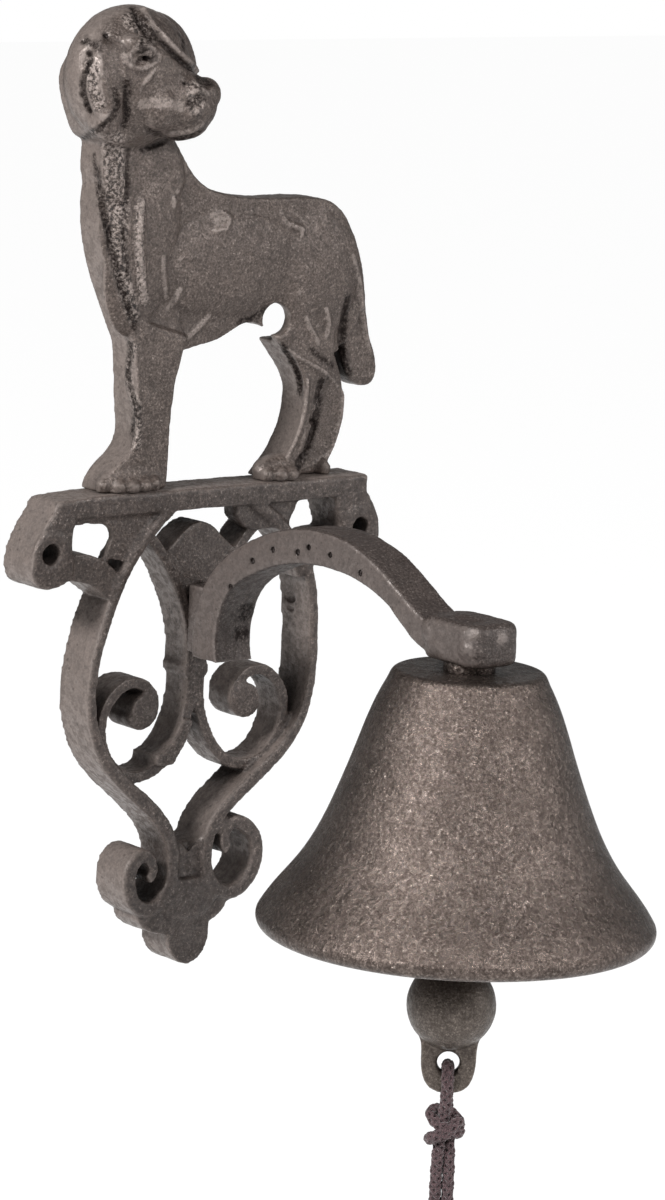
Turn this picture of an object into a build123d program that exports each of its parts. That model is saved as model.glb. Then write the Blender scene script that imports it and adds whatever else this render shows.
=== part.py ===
from build123d import *
import math
import os

# Cast iron wall bell: a dog on a shelf over lyre-shaped scrollwork, a curved arm, and a
# bell with a clapper that is pulled by a doubled cord.
# Millimetres. +Z is up, the wall is the plane Y = 0 and the front of the object faces -Y.
# The origin is on the wall plane, midway between the two screw holes.

# Wall screws
hole_spacing = 103.0
# The casting's outlines are drawn for a spacing of 103 and follow the real one
drawing_scale = hole_spacing / 103
hole_d = 5.3
ear_ring_d = 11.5
ear_ring_proud = 0.5

# Bracket casting, depths measured out from the wall
frame_depth = 13.0
scroll_depth = 10.0
leaf_depth = 9.0
shelf_top = 14.2
shelf_height = 5.6
shelf_left = -50.5
shelf_right = 53.5
shelf_corner = 1.2
shelf_fall = 1.0
scroll_w = 3.0
web_height = 26.0
collar_w = 7.6
collar_h = 2.6
flank_hole_d = 8.2
slot_l = 9.0
slot_w = 1.3
flank_wall = 2.2
flank_hollow_h = 10.6
flank_hollow_l = 11.0
dog_depth = 9.0
dog_bulge = 2.6

# Arm and its screw
arm_w = 12.5
arm_edge = 1.0
arm_rise = 11.0
foot_w = 8.0
foot_h = 18.0
arm_screw_z = -14.5
arm_screw_d = 4.0
arm_screw_head_d = 7.4
arm_screw_head_h = 2.6
arm_screw_bite = 9.0
screw_clearance = 0.2
head_clearance = 0.4
peg_d = 2.6
peg_l = 2.5
peg_z = -27.0
peg_clearance = 0.15

# Bell
bell_y = -118.0
bell_top = -15.3
bell_crown_r = 19.9
bell_lip_r = 50.0
bell_h = 67.3
bell_crown_t = 3.6
bell_pad_d = 13.0
bell_pad_h = 2.3

# Boss at the end of the arm, resting on the bell's pad
boss_w = 16.0
boss_l = 22.0
boss_corner = 5.0
boss_h = 10.8
boss_edge = 2.4

# Hanger: an eye bolt through the crown, with its washer and nut
hanger_d = 5.0
hanger_bite = 8.0
washer_d = 12.0
washer_t = 1.2
nut_af = 8.0
nut_t = 4.0
eye_r = 4.5
eye_wire = 3.0
eye_drop = 14.6

# Wire link between the hanger's eye and the clapper's eye
link_wire = 2.4
link_r = 3.7
link_straight = 8.0
chain_gap = 0.12

# Clapper casting
clapper_eye_r = 3.9
clapper_eye_wire = 3.2
clapper_stem_d = 7.0
ball_d = 22.5
ball_z = -100.7
lug_half_w = 6.8
lug_t = 4.0
lug_hole_d = 5.7
lug_hole_z = -115.4
lug_below = 7.8
lug_hole_round = 1.0

# The eyes, the link and the lug are turned to face this way about the vertical
clapper_turn = -40.0

# Pull cord
cord_d = 3.0
knot_d = 10.8
knot_h = 10.5
knot_below = 11.8
end_knot_d = 9.6
end_knot_h = 9.0

os.makedirs("parts", exist_ok=True)


def fillet_radii(points):
    """Largest radii whose arcs leave a tenth of each run straight."""
    radii = []
    for a, b, c in zip(points, points[1:], points[2:]):
        run_in = Vector(*b) - Vector(*a)
        run_out = Vector(*c) - Vector(*b)
        half_turn = math.radians(run_in.get_angle(run_out)) / 2
        radii.append(0.45 * min(run_in.length, run_out.length) / math.tan(half_turn))
    return radii


def drawn(x, z, y=0.0):
    """A point of the casting's drawing, at the size that the screw holes' spacing gives."""
    return Vector(x, y, z) * drawing_scale


def profile(points, closed_by=None, place=drawn):
    """A face bounded by one smooth curve through (x, z) points, closed by straight edges."""
    nodes = [place(x, z) for x, z in points]
    curve = Spline(*nodes)
    corners = [place(x, z) for x, z in (closed_by or [])]
    rest = Polyline(nodes[-1], *corners, nodes[0])
    return make_face(Wire([curve, *rest.edges()]))


def blob(points):
    """A face bounded by one closed smooth curve through (x, z) points."""
    return make_face(Spline(*[drawn(x, z) for x, z in points], periodic=True))


def relief(face, depth, draft=0.0, back=0.0):
    """The face as a solid from `back` out to `depth` in front of the wall."""
    placed = Pos(0, -back, 0) * face
    return extrude(placed, depth - back, dir=(0, -1, 0), taper=draft)


def strap(points, depth, back=0.0):
    """A bar whose centre line runs smoothly through (x, z, width) points."""
    nodes = [drawn(x, z) for x, z, _ in points]
    widths = [width * drawing_scale for _, _, width in points]
    line = Spline(*nodes)
    marks = [0.0]
    for a, b in zip(nodes, nodes[1:]):
        marks.append(marks[-1] + (b - a).length)
    steps = 3 * (len(points) - 1)
    left, right = [], []
    for i in range(steps + 1):
        u = i / steps
        k = max(j for j in range(len(nodes) - 1) if marks[j] <= u * marks[-1])
        part = (u * marks[-1] - marks[k]) / (marks[k + 1] - marks[k])
        half = (widths[k] + (widths[k + 1] - widths[k]) * part) / 2
        along = line % u
        across = Vector(along.Z, 0, -along.X) * half
        left.append(line @ u + across)
        right.append(line @ u - across)
    sides = [Spline(*left), Spline(*right)]
    ends = [Line(left[0], right[0]), Line(left[-1], right[-1])]
    return relief(make_face(Wire([*sides, *ends])), depth, back=back)


def swelling(centre, radii, turn=(0, 0, 0)):
    """An egg-shaped swelling of the casting; centre is (x, out from the wall, z)."""
    x, out, z = centre
    size = tuple(r * drawing_scale for r in radii)
    return Pos(drawn(x, z, -out)) * Rot(*turn) * scale(Sphere(1.0), size)


# Bracket
# The outer straps curve down from the shelf, in below the scrolls, and end in the lower
# volutes. The casting isn't symmetrical, so each side has its own points and widths.
left_outer = [
    (-12.5, 9.0, 3.0), (-19.6, 2.6, 3.0), (-25.9, -5.5, 2.9), (-30.4, -14.5, 2.8),
    (-34.1, -25.0, 2.8), (-36.2, -37.0, 2.8), (-34.9, -48.0, 3.0), (-29.6, -57.8, 3.6),
    (-21.6, -65.4, 4.0), (-13.4, -72.4, 4.0), (-8.2, -79.8, 3.6), (-6.9, -87.5, 3.6),
    (-8.6, -94.2, 3.8), (-13.6, -98.0, 4.0), (-18.8, -96.4, 4.0), (-21.3, -91.0, 4.0),
    (-20.4, -85.6, 4.0), (-16.8, -83.2, 3.6), (-13.8, -86.4, 3.0), (-15.2, -90.0, 2.6),
]
right_outer = [
    (15.0, 9.0, 3.2), (22.5, 4.0, 3.2), (30.0, -3.0, 3.0), (35.3, -12.0, 2.8),
    (37.4, -25.0, 2.8), (37.6, -37.0, 2.8), (35.8, -47.5, 3.0), (31.0, -56.2, 3.4),
    (23.2, -63.0, 3.8), (14.4, -69.4, 3.8), (7.6, -75.4, 3.6), (4.6, -81.4, 3.4),
    (4.4, -88.4, 3.4), (7.8, -94.6, 3.6), (13.4, -96.4, 3.8), (18.4, -94.0, 4.0),
    (21.1, -88.5, 4.0), (20.6, -82.4, 4.0), (16.8, -78.4, 4.0), (12.2, -77.4, 3.6),
    (9.9, -80.8, 3.2), (11.6, -84.6, 2.8),
]
# The inner straps stand back to back in the middle, flare into the outer ones above and
# curl outwards below into the upper volutes.
inner_upper = [
    (20.6, 4.6), (15.6, 0.0), (10.4, -6.6), (6.2, -14.0), (3.4, -21.5), (2.0, -28.5),
    (1.8, -35.5),
]
inner_lower = [
    (1.6, -33.5), (1.9, -45.0), (5.6, -54.5), (11.6, -60.6), (18.6, -62.4), (25.6, -59.6),
    (29.8, -53.2), (30.4, -46.0), (27.4, -40.2), (22.0, -37.0), (16.4, -38.2), (13.4, -42.6),
    (14.8, -47.2), (18.4, -48.2), (20.4, -45.6),
]

shelf_face = make_face(Polyline(
    (shelf_left + shelf_corner, 0, shelf_top - shelf_height),
    (shelf_left, 0, shelf_top - shelf_height / 2),
    (shelf_left + shelf_corner, 0, shelf_top - shelf_fall),
    (shelf_left + shelf_corner + 12 * shelf_fall, 0, shelf_top),
    (shelf_right, 0, shelf_top),
    (shelf_right, 0, shelf_top - shelf_height),
    close=True,
))
bracket = relief(shelf_face, frame_depth)
for points in (left_outer, right_outer):
    bracket += strap(points, frame_depth)
for side in (-1, 1):
    bracket += strap([(side * x, z, scroll_w) for x, z in inner_upper], scroll_depth)
    bracket += strap([(side * x, z, scroll_w) for x, z in inner_lower], scroll_depth)
    # knobs in the middle of the volutes
    bracket += Pos(drawn(side * 17.2, -44.4)) * Rot(90, 0, 0) * Cylinder(
        4.0 * drawing_scale, scroll_depth + 0.6, align=(Align.CENTER, Align.CENTER, Align.MIN)
    )
left_ear = blob([
    (-48.8, 13.0), (-53.0, 7.4), (-56.4, 1.0), (-57.2, -4.0), (-55.6, -7.8), (-50.0, -9.2),
    (-44.6, -6.4), (-44.4, 1.0), (-43.8, 7.6), (-43.8, 12.0),
])
right_ear = blob([
    (50.0, 13.6), (54.4, 8.6), (57.4, 3.0), (58.4, -2.4), (57.0, -7.4), (51.0, -9.2),
    (45.0, -6.4), (44.8, 1.0), (43.2, 9.0),
])
for side, ear in ((-1, left_ear), (1, right_ear)):
    bracket += relief(ear, frame_depth)
    tail = profile(
        [(side * 50.0, -1.5), (side * 44.0, -0.6), (side * 36.0, -2.0), (side * 29.0, -6.4)],
        [(side * 32.0, -13.0), (side * 38.0, -9.0), (side * 44.0, -7.6), (side * 50.0, -8.6)],
    )
    bracket += relief(tail, frame_depth - 1.0)
    bracket += Pos(side * hole_spacing / 2, -frame_depth, 0) * Rot(90, 0, 0) * Cylinder(
        ear_ring_d / 2, 2 * ear_ring_proud
    )

# Leaf between the flared straps
leaf = profile(
    [(-12.0, -3.0), (-7.6, 0.2), (-3.2, 3.6), (0.0, 4.4), (3.2, 3.6), (7.6, 0.2), (12.0, -3.0)],
    [(4.2, -16.0), (0.8, -26.0), (-0.8, -26.0), (-4.2, -16.0)],
)
bracket += relief(leaf, leaf_depth)
# Web between the two inner straps, down to the fork
web_depth = scroll_depth - 1.0
bracket += Pos(drawn(0, -34.0)) * Box(
    scroll_w, web_depth, web_height, align=(Align.CENTER, Align.MAX, Align.CENTER)
)
# Collar at the step in the middle
bracket += Pos(drawn(0, -35.0)) * Box(
    collar_w, scroll_depth + 0.4, collar_h, align=(Align.CENTER, Align.MAX, Align.CENTER)
)

# Bottom finial: a broad collar in two ribs, hollowed at its ends, and a rounded drop
broad_rib = profile(
    [(-17.4, -100.6), (-13.0, -104.6), (-6.0, -105.6), (-1.0, -104.6), (6.0, -104.0), (10.6, -102.0),
     (12.6, -98.6)],
    [(8.0, -95.0), (-8.0, -95.0)],
)
bracket += relief(broad_rib, frame_depth - 1.4)
narrow_rib = profile(
    [(-10.4, -98.6), (-5.6, -101.6), (-1.0, -102.2), (3.6, -101.2), (7.6, -97.8)],
    [(3.0, -91.0), (-5.6, -91.0)],
)
bracket += relief(narrow_rib, frame_depth)
drop = blob([
    (-0.6, -99.0), (-6.6, -101.5), (-7.4, -107.0), (-4.6, -112.8), (-0.4, -114.8),
    (4.0, -112.8), (6.6, -107.0), (5.6, -101.5),
])
bracket += relief(drop, frame_depth - 1.2)
throat = profile(
    [(-8.0, -79.0), (-1.4, -81.5), (4.6, -80.0)],
    [(3.4, -88.0), (5.0, -94.0), (7.0, -98.0), (-9.0, -98.0), (-7.0, -92.0)],
)
bracket += relief(throat, scroll_depth)

# Dog, standing on the shelf with its head turned to the front
torso = blob([
    (-36.2, 98.0), (-37.4, 88.0), (-35.6, 76.0), (-31.4, 65.0), (-26.6, 55.0),
    (-22.0, 49.0), (-12.0, 49.0), (-3.0, 51.0), (5.0, 53.0), (14.0, 56.4), (21.0, 53.0),
    (27.0, 48.0), (36.0, 46.0), (44.4, 47.6), (50.0, 54.0), (52.6, 63.0), (50.8, 72.0),
    (47.0, 80.4), (41.6, 86.6), (33.0, 88.9), (18.0, 89.0), (4.0, 90.6), (-4.0, 93.4),
    (-9.4, 99.0), (-15.0, 106.0), (-27.0, 108.0),
])
front_leg = profile(
    [(-27.6, 60.0), (-24.8, 48.0), (-24.0, 37.0), (-24.2, 26.0), (-30.0, 20.4), (-33.6, 14.0)],
    [(-13.0, 14.0), (-12.6, 30.0), (-11.4, 42.0), (-8.0, 54.0)],
)
near_hind_leg = profile(
    [(20.0, 60.0), (22.4, 52.0), (28.6, 44.6), (32.2, 37.8), (31.8, 30.6), (28.4, 22.6), (20.6, 14.0)],
    [(31.0, 14.0), (32.8, 21.4), (36.6, 30.5), (38.8, 37.9), (42.0, 46.0), (42.0, 60.0)],
)
far_hind_leg = profile(
    [(46.0, 60.0), (45.4, 46.0), (48.6, 36.6), (48.4, 30.0), (45.6, 21.0), (43.4, 14.0)],
    [(29.6, 13.0), (31.2, 24.0), (35.0, 34.0), (37.0, 60.0)],
)
tail = blob([
    (43.0, 84.4), (48.6, 79.2), (52.8, 70.6), (54.8, 60.8), (56.6, 51.0), (59.6, 42.4),
    (58.4, 38.0), (53.4, 37.4), (49.4, 40.6), (47.6, 46.0), (47.4, 53.0), (46.8, 62.0),
])
bracket += relief(torso, dog_depth)
bracket += relief(front_leg, dog_depth + 1.6)
bracket += relief(near_hind_leg, dog_depth + 1.4)
bracket += relief(far_hind_leg, dog_depth - 2.4)
bracket += relief(tail, dog_depth - 2.0)
# Paws
for x, out, rx in ((-24.6, dog_depth - 1.0, 9.0), (25.6, dog_depth - 1.0, 8.0)):
    bracket += swelling((x, out, 16.6), (rx, 4.0, 4.4))

# Swelling of shoulder, ribs and rump
for x, z, rx, rz, lean in (
    (-23.0, 78.0, 11.5, 24.0, 10.0),
    (6.0, 72.0, 25.0, 14.0, -4.0),
    (36.0, 68.0, 14.0, 18.0, 6.0),
):
    bracket += swelling((x, dog_depth - 0.6, z), (rx, dog_bulge + 0.6, rz), (0, lean, 0))

# Head, turned to the front and to the right: neck, skull, the far side behind the ridge
# from crown to nose, muzzle, nose, chin and hanging ear
neck = blob([
    (-37.0, 116.0), (-37.6, 104.0), (-36.8, 94.0), (-24.0, 88.0), (-11.0, 94.0),
    (-13.6, 102.0), (-18.0, 112.0), (-30.0, 122.0),
])
bracket += relief(neck, dog_depth + 1.5)
bracket += swelling((-30.0, 9.0, 121.6), (18.2, 12.5, 18.2))
bracket += swelling((-22.0, 5.0, 121.2), (16.2, 8.0, 17.0))
bracket += swelling((-21.4, 14.5, 115.6), (13.0, 8.0, 9.4), (0, 10, -32))
bracket += swelling((-12.4, 18.6, 117.6), (4.4, 4.0, 4.4))
bracket += swelling((-17.2, 16.0, 109.8), (7.0, 5.0, 4.2), (0, -14, -32))
ear_flap = blob([
    (-35.4, 132.4), (-41.6, 128.4), (-45.6, 121.0), (-43.4, 112.0), (-39.0, 105.4),
    (-33.6, 106.0), (-30.0, 113.0), (-29.4, 124.0),
])
bracket += relief(ear_flap, dog_depth + 7.6)

# Cuts: round hole in the flank with its slot, screw holes, and the arm's fixing
through = 4 * frame_depth
bracket -= Pos(drawn(22.4, 57.0)) * Rot(90, 0, 0) * Cylinder(flank_hole_d / 2, through)
bracket -= Pos(drawn(16.6, 53.6)) * Rot(0, 26, 0) * Box(slot_l, through, slot_w)
# Hollow behind the flank hole, so that one looks straight through it from the front left
hollow = Rot(90, 0, 0) * extrude(
    SlotCenterToCenter(flank_hollow_l, flank_hollow_h), dog_depth - flank_wall, both=True
)
bracket -= Pos(drawn(29.0, 56.6)) * hollow
for side in (-1, 1):
    bracket -= Pos(side * hole_spacing / 2, 0, 0) * Rot(90, 0, 0) * Cylinder(hole_d / 2, through)
in_front = Box(
    2 * hole_spacing, hole_spacing, 4 * hole_spacing,
    align=(Align.CENTER, Align.MAX, Align.CENTER),
)
bracket = bracket & in_front

head_seat = scroll_depth * 0.42
bracket -= Pos(0, 0, arm_screw_z) * Rot(90, 0, 0) * Cylinder(
    arm_screw_d / 2 + screw_clearance, through
)
bracket -= Pos(0, 0, arm_screw_z) * Rot(90, 0, 0) * Cylinder(
    arm_screw_head_d / 2 + head_clearance, 2 * head_seat
)
bracket -= Pos(0, -scroll_depth, peg_z) * Rot(90, 0, 0) * Cylinder(
    peg_d / 2 + peg_clearance, 2 * (peg_l + peg_clearance)
)


def arm_curve(points):
    """A smooth side of the arm; points are shares of its reach and of its rise."""
    return Spline(*[Vector(0, bell_y * reach, arm_rise * rise) for reach, rise in points])


# Arm: a bar bent from the middle of the scrolls out over the bell, ending in a boss
outer_curve = arm_curve([
    (0.127, -2.73), (0.129, -1.73), (0.165, -0.84), (0.254, 0.04), (0.381, 0.70),
    (0.508, 1.0), (0.636, 0.95), (0.746, 0.56), (0.847, -0.05), (0.924, -0.45),
])
inner_curve = arm_curve([
    (0.924, -1.12), (0.873, -0.93), (0.788, -0.32), (0.678, 0.10), (0.559, 0.20),
    (0.441, 0.04), (0.331, -0.38), (0.250, -0.95), (0.217, -1.60), (0.217, -2.73),
])
arm_side = make_face(Wire([
    outer_curve,
    Line(outer_curve @ 1, inner_curve @ 0),
    inner_curve,
    Line(inner_curve @ 1, outer_curve @ 0),
]))
arm = extrude(arm_side, arm_w / 2, dir=(1, 0, 0), both=True)
arm = fillet(
    arm.edges().filter_by(GeomType.BSPLINE).filter_by_position(
        Axis.Z, -0.73 * arm_rise, 1.1 * arm_rise
    ),
    arm_edge,
)
boss_bottom = bell_top + bell_pad_h
boss = Pos(0, bell_y, boss_bottom + boss_h / 2) * Box(boss_w, boss_l, boss_h)
boss = fillet(boss.edges().filter_by(Axis.Z), boss_corner)
boss = fillet(boss.edges().group_by(Axis.Z)[-1], boss_edge)
boss = fillet(boss.edges().group_by(Axis.Z)[0], boss_edge * 0.7)
foot_end = -bell_y * 0.136
foot = Pos(0, -scroll_depth, (arm_screw_z + peg_z) / 2) * Box(
    foot_w, foot_end - scroll_depth, foot_h, align=(Align.CENTER, Align.MAX, Align.CENTER)
)
arm = arm + boss + foot
arm += Pos(0, -scroll_depth, peg_z) * Rot(90, 0, 0) * Cylinder(
    peg_d / 2, peg_l, align=(Align.CENTER, Align.CENTER, Align.MAX)
)
arm -= Pos(0, -scroll_depth, arm_screw_z) * Rot(90, 0, 0) * Cylinder(
    arm_screw_d / 2, arm_screw_bite + 0.6, align=(Align.CENTER, Align.CENTER, Align.MIN)
)
arm -= Pos(0, bell_y, boss_bottom) * Cylinder(
    hanger_d / 2, hanger_bite + 0.6, align=(Align.CENTER, Align.CENTER, Align.MIN)
)

# Screw that holds the arm from behind
shank_l = scroll_depth - head_seat + arm_screw_bite
arm_screw = Pos(0, -head_seat, arm_screw_z) * Rot(90, 0, 0) * Cylinder(
    arm_screw_d / 2, shank_l, align=(Align.CENTER, Align.CENTER, Align.MIN)
)
screw_head = Pos(0, -head_seat, arm_screw_z) * Rot(-90, 0, 0) * Cylinder(
    arm_screw_head_d / 2, arm_screw_head_h, align=(Align.CENTER, Align.CENTER, Align.MIN)
)
screw_head = fillet(screw_head.edges().group_by(Axis.Y)[-1], 0.8)
screw_head -= Pos(0, -head_seat + arm_screw_head_h, arm_screw_z) * Box(10, 2.4, 1.0)
arm_screw += screw_head

# Bell: outer and inner walls drawn down from the crown, joined by a thick round lip
bell_outer = [
    (bell_crown_r + 0.5, -3.4), (23.4, -9.7), (27.3, -20.7), (31.4, -32.0), (35.7, -42.0),
    (40.9, -50.6), (46.4, -57.6), (bell_lip_r - 0.4, -62.4),
]
bell_inner = [
    (45.0, -bell_h + 1.2), (43.0, -59.4), (37.6, -52.2), (32.4, -43.4), (28.0, -32.8),
    (23.9, -21.7), (20.1, -10.6), (17.2, -bell_crown_t - 1.5),
]
wall_out = Spline(*[Vector(r, 0, z) for r, z in bell_outer])
wall_in = Spline(*[Vector(r, 0, z) for r, z in bell_inner])
shoulder = Spline(
    Vector(bell_crown_r - 2.6, 0, 0), wall_out @ 0, tangents=[(1, 0, 0), tuple(wall_out % 0)]
)
lip = ThreePointArc(wall_out @ 1, Vector(bell_lip_r - 1.8, 0, -bell_h + 0.6), wall_in @ 0)
half = Wire([
    Line(Vector(0, 0, 0), shoulder @ 0),
    shoulder,
    wall_out,
    lip,
    wall_in,
    Polyline(wall_in @ 1, Vector(15.7, 0, -bell_crown_t), Vector(0, 0, -bell_crown_t)).edges()[0],
    Polyline(wall_in @ 1, Vector(15.7, 0, -bell_crown_t), Vector(0, 0, -bell_crown_t)).edges()[1],
    Line(Vector(0, 0, -bell_crown_t), Vector(0, 0, 0)),
])
bell = revolve(make_face(half), Axis.Z)
bell += Cylinder(bell_pad_d / 2, bell_pad_h, align=(Align.CENTER, Align.CENTER, Align.MIN))
bell -= Cylinder(hanger_d / 2 + screw_clearance, 30)
bell = Pos(0, bell_y, bell_top) * bell

# Hanger and its hardware
crown_under = bell_top - bell_crown_t
eye_z = crown_under - eye_drop
washer = Pos(0, bell_y, crown_under - washer_t / 2) * (
    Cylinder(washer_d / 2, washer_t) - Cylinder(hanger_d / 2 + screw_clearance, 3 * washer_t)
)
nut = extrude(RegularPolygon(nut_af / 2, 6, major_radius=False), nut_t)
nut -= Cylinder(hanger_d / 2, 3 * nut_t)
nut = Pos(0, bell_y, crown_under - washer_t - nut_t) * nut
turned = Pos(0, bell_y, 0) * Rot(0, 0, clapper_turn)
shank_top = boss_bottom + hanger_bite
hanger = Pos(0, 0, eye_z + eye_r) * Cylinder(
    hanger_d / 2, shank_top - eye_z - eye_r, align=(Align.CENTER, Align.CENTER, Align.MIN)
)
hanger += Pos(0, 0, eye_z) * Rot(90, 0, 0) * Torus(eye_r, eye_wire / 2)
hanger = turned * hanger

# Link: an oval of wire, edge on to the eyes
link_top = eye_z - eye_r + eye_wire / 2 + link_wire / 2 + chain_gap
link_path = Wire([
    ThreePointArc((0, link_r, link_top - link_r), (0, 0, link_top), (0, -link_r, link_top - link_r)),
    Line((0, -link_r, link_top - link_r), (0, -link_r, link_top - link_r - link_straight)),
    ThreePointArc(
        (0, -link_r, link_top - link_r - link_straight),
        (0, 0, link_top - 2 * link_r - link_straight),
        (0, link_r, link_top - link_r - link_straight),
    ),
    Line((0, link_r, link_top - link_r - link_straight), (0, link_r, link_top - link_r)),
])
link_section = Plane(origin=(0, link_r, link_top - link_r - link_straight / 2), z_dir=(0, 0, 1))
link = turned * sweep(link_section * Circle(link_wire / 2), path=link_path)

# Clapper: eye, stem, ball and pierced lug, cast as one
link_bottom = link_top - 2 * link_r - link_straight
clapper_eye_z = (
    link_bottom + link_wire / 2 + clapper_eye_wire / 2 + chain_gap - clapper_eye_r
)
stem_top = clapper_eye_z - clapper_eye_r
clapper = Pos(0, 0, clapper_eye_z) * Rot(90, 0, 0) * Torus(clapper_eye_r, clapper_eye_wire / 2)
clapper += Pos(0, 0, ball_z) * Cone(
    clapper_stem_d / 2 + 1.0, clapper_eye_wire / 2 + 1.2, stem_top - ball_z,
    align=(Align.CENTER, Align.CENTER, Align.MIN),
)
clapper += Pos(0, 0, ball_z) * Sphere(ball_d / 2)
lug_bottom = lug_hole_z - lug_below
lug = profile(
    [
        (-0.4 * ball_d, ball_z - 0.27 * ball_d), (-1.03 * lug_half_w, lug_hole_z + 4.0),
        (-lug_half_w, lug_hole_z - 1.0), (-0.68 * lug_half_w, lug_bottom + 1.4),
        (0.0, lug_bottom), (0.68 * lug_half_w, lug_bottom + 1.4),
        (lug_half_w, lug_hole_z - 1.0), (1.03 * lug_half_w, lug_hole_z + 4.0),
        (0.4 * ball_d, ball_z - 0.27 * ball_d),
    ],
    place=lambda x, z: Vector(x, 0, z),
)
lug = Pos(0, lug_t / 2, 0) * extrude(lug, lug_t, dir=(0, -1, 0))
lug -= Pos(0, 0, lug_hole_z) * Rot(90, 0, 0) * Cylinder(lug_hole_d / 2, 20)
hole_edges = lug.edges().filter_by(GeomType.CIRCLE)
lug = fillet(hole_edges, lug_hole_round)
clapper = turned * (clapper + lug)

# Pull cord: doubled through the lug's hole, both halves into a knot, then side by side to
# the end knot. Points are across, out to the front, and up, in the clapper's turned frame.
fold_half = 3.9
knot_top = lug_hole_z - knot_below
front_run = [
    (0.0, fold_half, lug_hole_z - 1.2), (0.0, fold_half + 0.2, lug_hole_z - lug_below - 0.2),
    (-0.5, 1.9, knot_top - 2.4), (-1.9, 0.25, knot_top - knot_h - 1.3),
    (-2.1, 0.0, lug_hole_z - 38.6), (-1.85, 0.15, lug_hole_z - 60.6),
    (-2.2, 0.0, lug_hole_z - 80.6), (-2.0, 0.1, lug_hole_z - 96.6),
]
back_run = [(-across, -out, up) for across, out, up in front_run]
cord_points = [*reversed(front_run), *back_run]
cord_nodes = [(across, -out, up) for across, out, up in cord_points]
radii = fillet_radii(cord_nodes)
print("cord radii", [round(r, 1) for r in radii])
cord_path = FilletPolyline(*cord_nodes, radius=radii)
cord_start = Plane(origin=cord_path @ 0, z_dir=cord_path % 0)
cord = sweep(cord_start * Circle(cord_d / 2), path=cord_path)
print("cord length", round(cord_path.length, 1))


def knot(width, height):
    """Two crossed turns of cord round a core, centred on the origin."""
    turn = Torus(width / 2 - cord_d / 2, cord_d / 2)
    body = Pos(0, 0, height / 5) * Rot(18, 20, 0) * turn
    body += Pos(0, 0, -height / 5) * Rot(-20, -16, 0) * turn
    body += scale(Sphere(1.0), (width / 2 - 1.6, width / 2 - 1.6, height / 2))
    return body


upper_knot = Pos(0, 0, knot_top - knot_h / 2) * knot(knot_d, knot_h) - cord
end_z = cord_points[0][2]
end_knot = Pos(0, 0, end_z) * knot(end_knot_d, end_knot_h) - cord
nodes = {
    "bracket": bracket,
    "arm": arm,
    "arm_screw": arm_screw,
    "bell": bell,
    "hanger_eye_bolt": hanger,
    "hanger_washer": washer,
    "hanger_nut": nut,
    "clapper_link": link,
    "clapper": clapper,
    "pull_cord": turned * cord,
    "cord_knot": turned * upper_knot,
    "cord_end_knot": turned * end_knot,
}
for name, solid in nodes.items():
    print(name, round(solid.volume), len(solid.solids()))
    export_step(solid, f"parts/{name}.step")
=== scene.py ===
"""Dress the cast iron wall bell: castings, hardware and the braided pull cord."""

import logging
import math
from dataclasses import dataclass
from enum import Enum

import bpy
import numpy as np
from mathutils import Matrix, Vector


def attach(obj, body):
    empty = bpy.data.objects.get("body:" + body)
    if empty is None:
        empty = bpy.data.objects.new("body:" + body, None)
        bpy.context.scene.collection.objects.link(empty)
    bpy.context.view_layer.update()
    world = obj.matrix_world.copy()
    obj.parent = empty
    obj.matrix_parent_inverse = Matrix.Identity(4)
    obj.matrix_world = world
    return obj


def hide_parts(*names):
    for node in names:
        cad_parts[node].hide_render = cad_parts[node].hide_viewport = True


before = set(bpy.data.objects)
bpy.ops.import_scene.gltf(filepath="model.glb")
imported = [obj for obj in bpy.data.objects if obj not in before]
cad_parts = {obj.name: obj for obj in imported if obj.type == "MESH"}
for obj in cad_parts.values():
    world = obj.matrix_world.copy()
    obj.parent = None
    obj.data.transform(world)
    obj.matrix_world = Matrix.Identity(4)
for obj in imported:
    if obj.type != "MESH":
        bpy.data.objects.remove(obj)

log = logging.getLogger("wall_bell")

MM = 0.001
Point = tuple[float, float, float]
Colour = tuple[float, float, float]
Piece = bpy.types.Object
Material = bpy.types.Material
Socket = bpy.types.NodeSocket


class Body(Enum):
    """The rigid bodies that the pieces move with."""

    FIXED = "bracket_and_bell"
    CLAPPER = "clapper"


class Slot(Enum):
    """Names for the material slots of the pieces' finishes."""

    BRACKET = "cast_bracket"
    ARM = "cast_arm"
    CLAPPER = "cast_clapper"
    CORD = "braided_cord"


def srgb(*levels: int) -> Colour:
    """Turn a screen colour's red, green and blue, 0 to 255, into a linear colour."""
    parts = [level / 255 for level in levels]
    linear = [v / 12.92 if v <= 0.04045 else ((v + 0.055) / 1.055) ** 2.4 for v in parts]
    return (linear[0], linear[1], linear[2])


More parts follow.
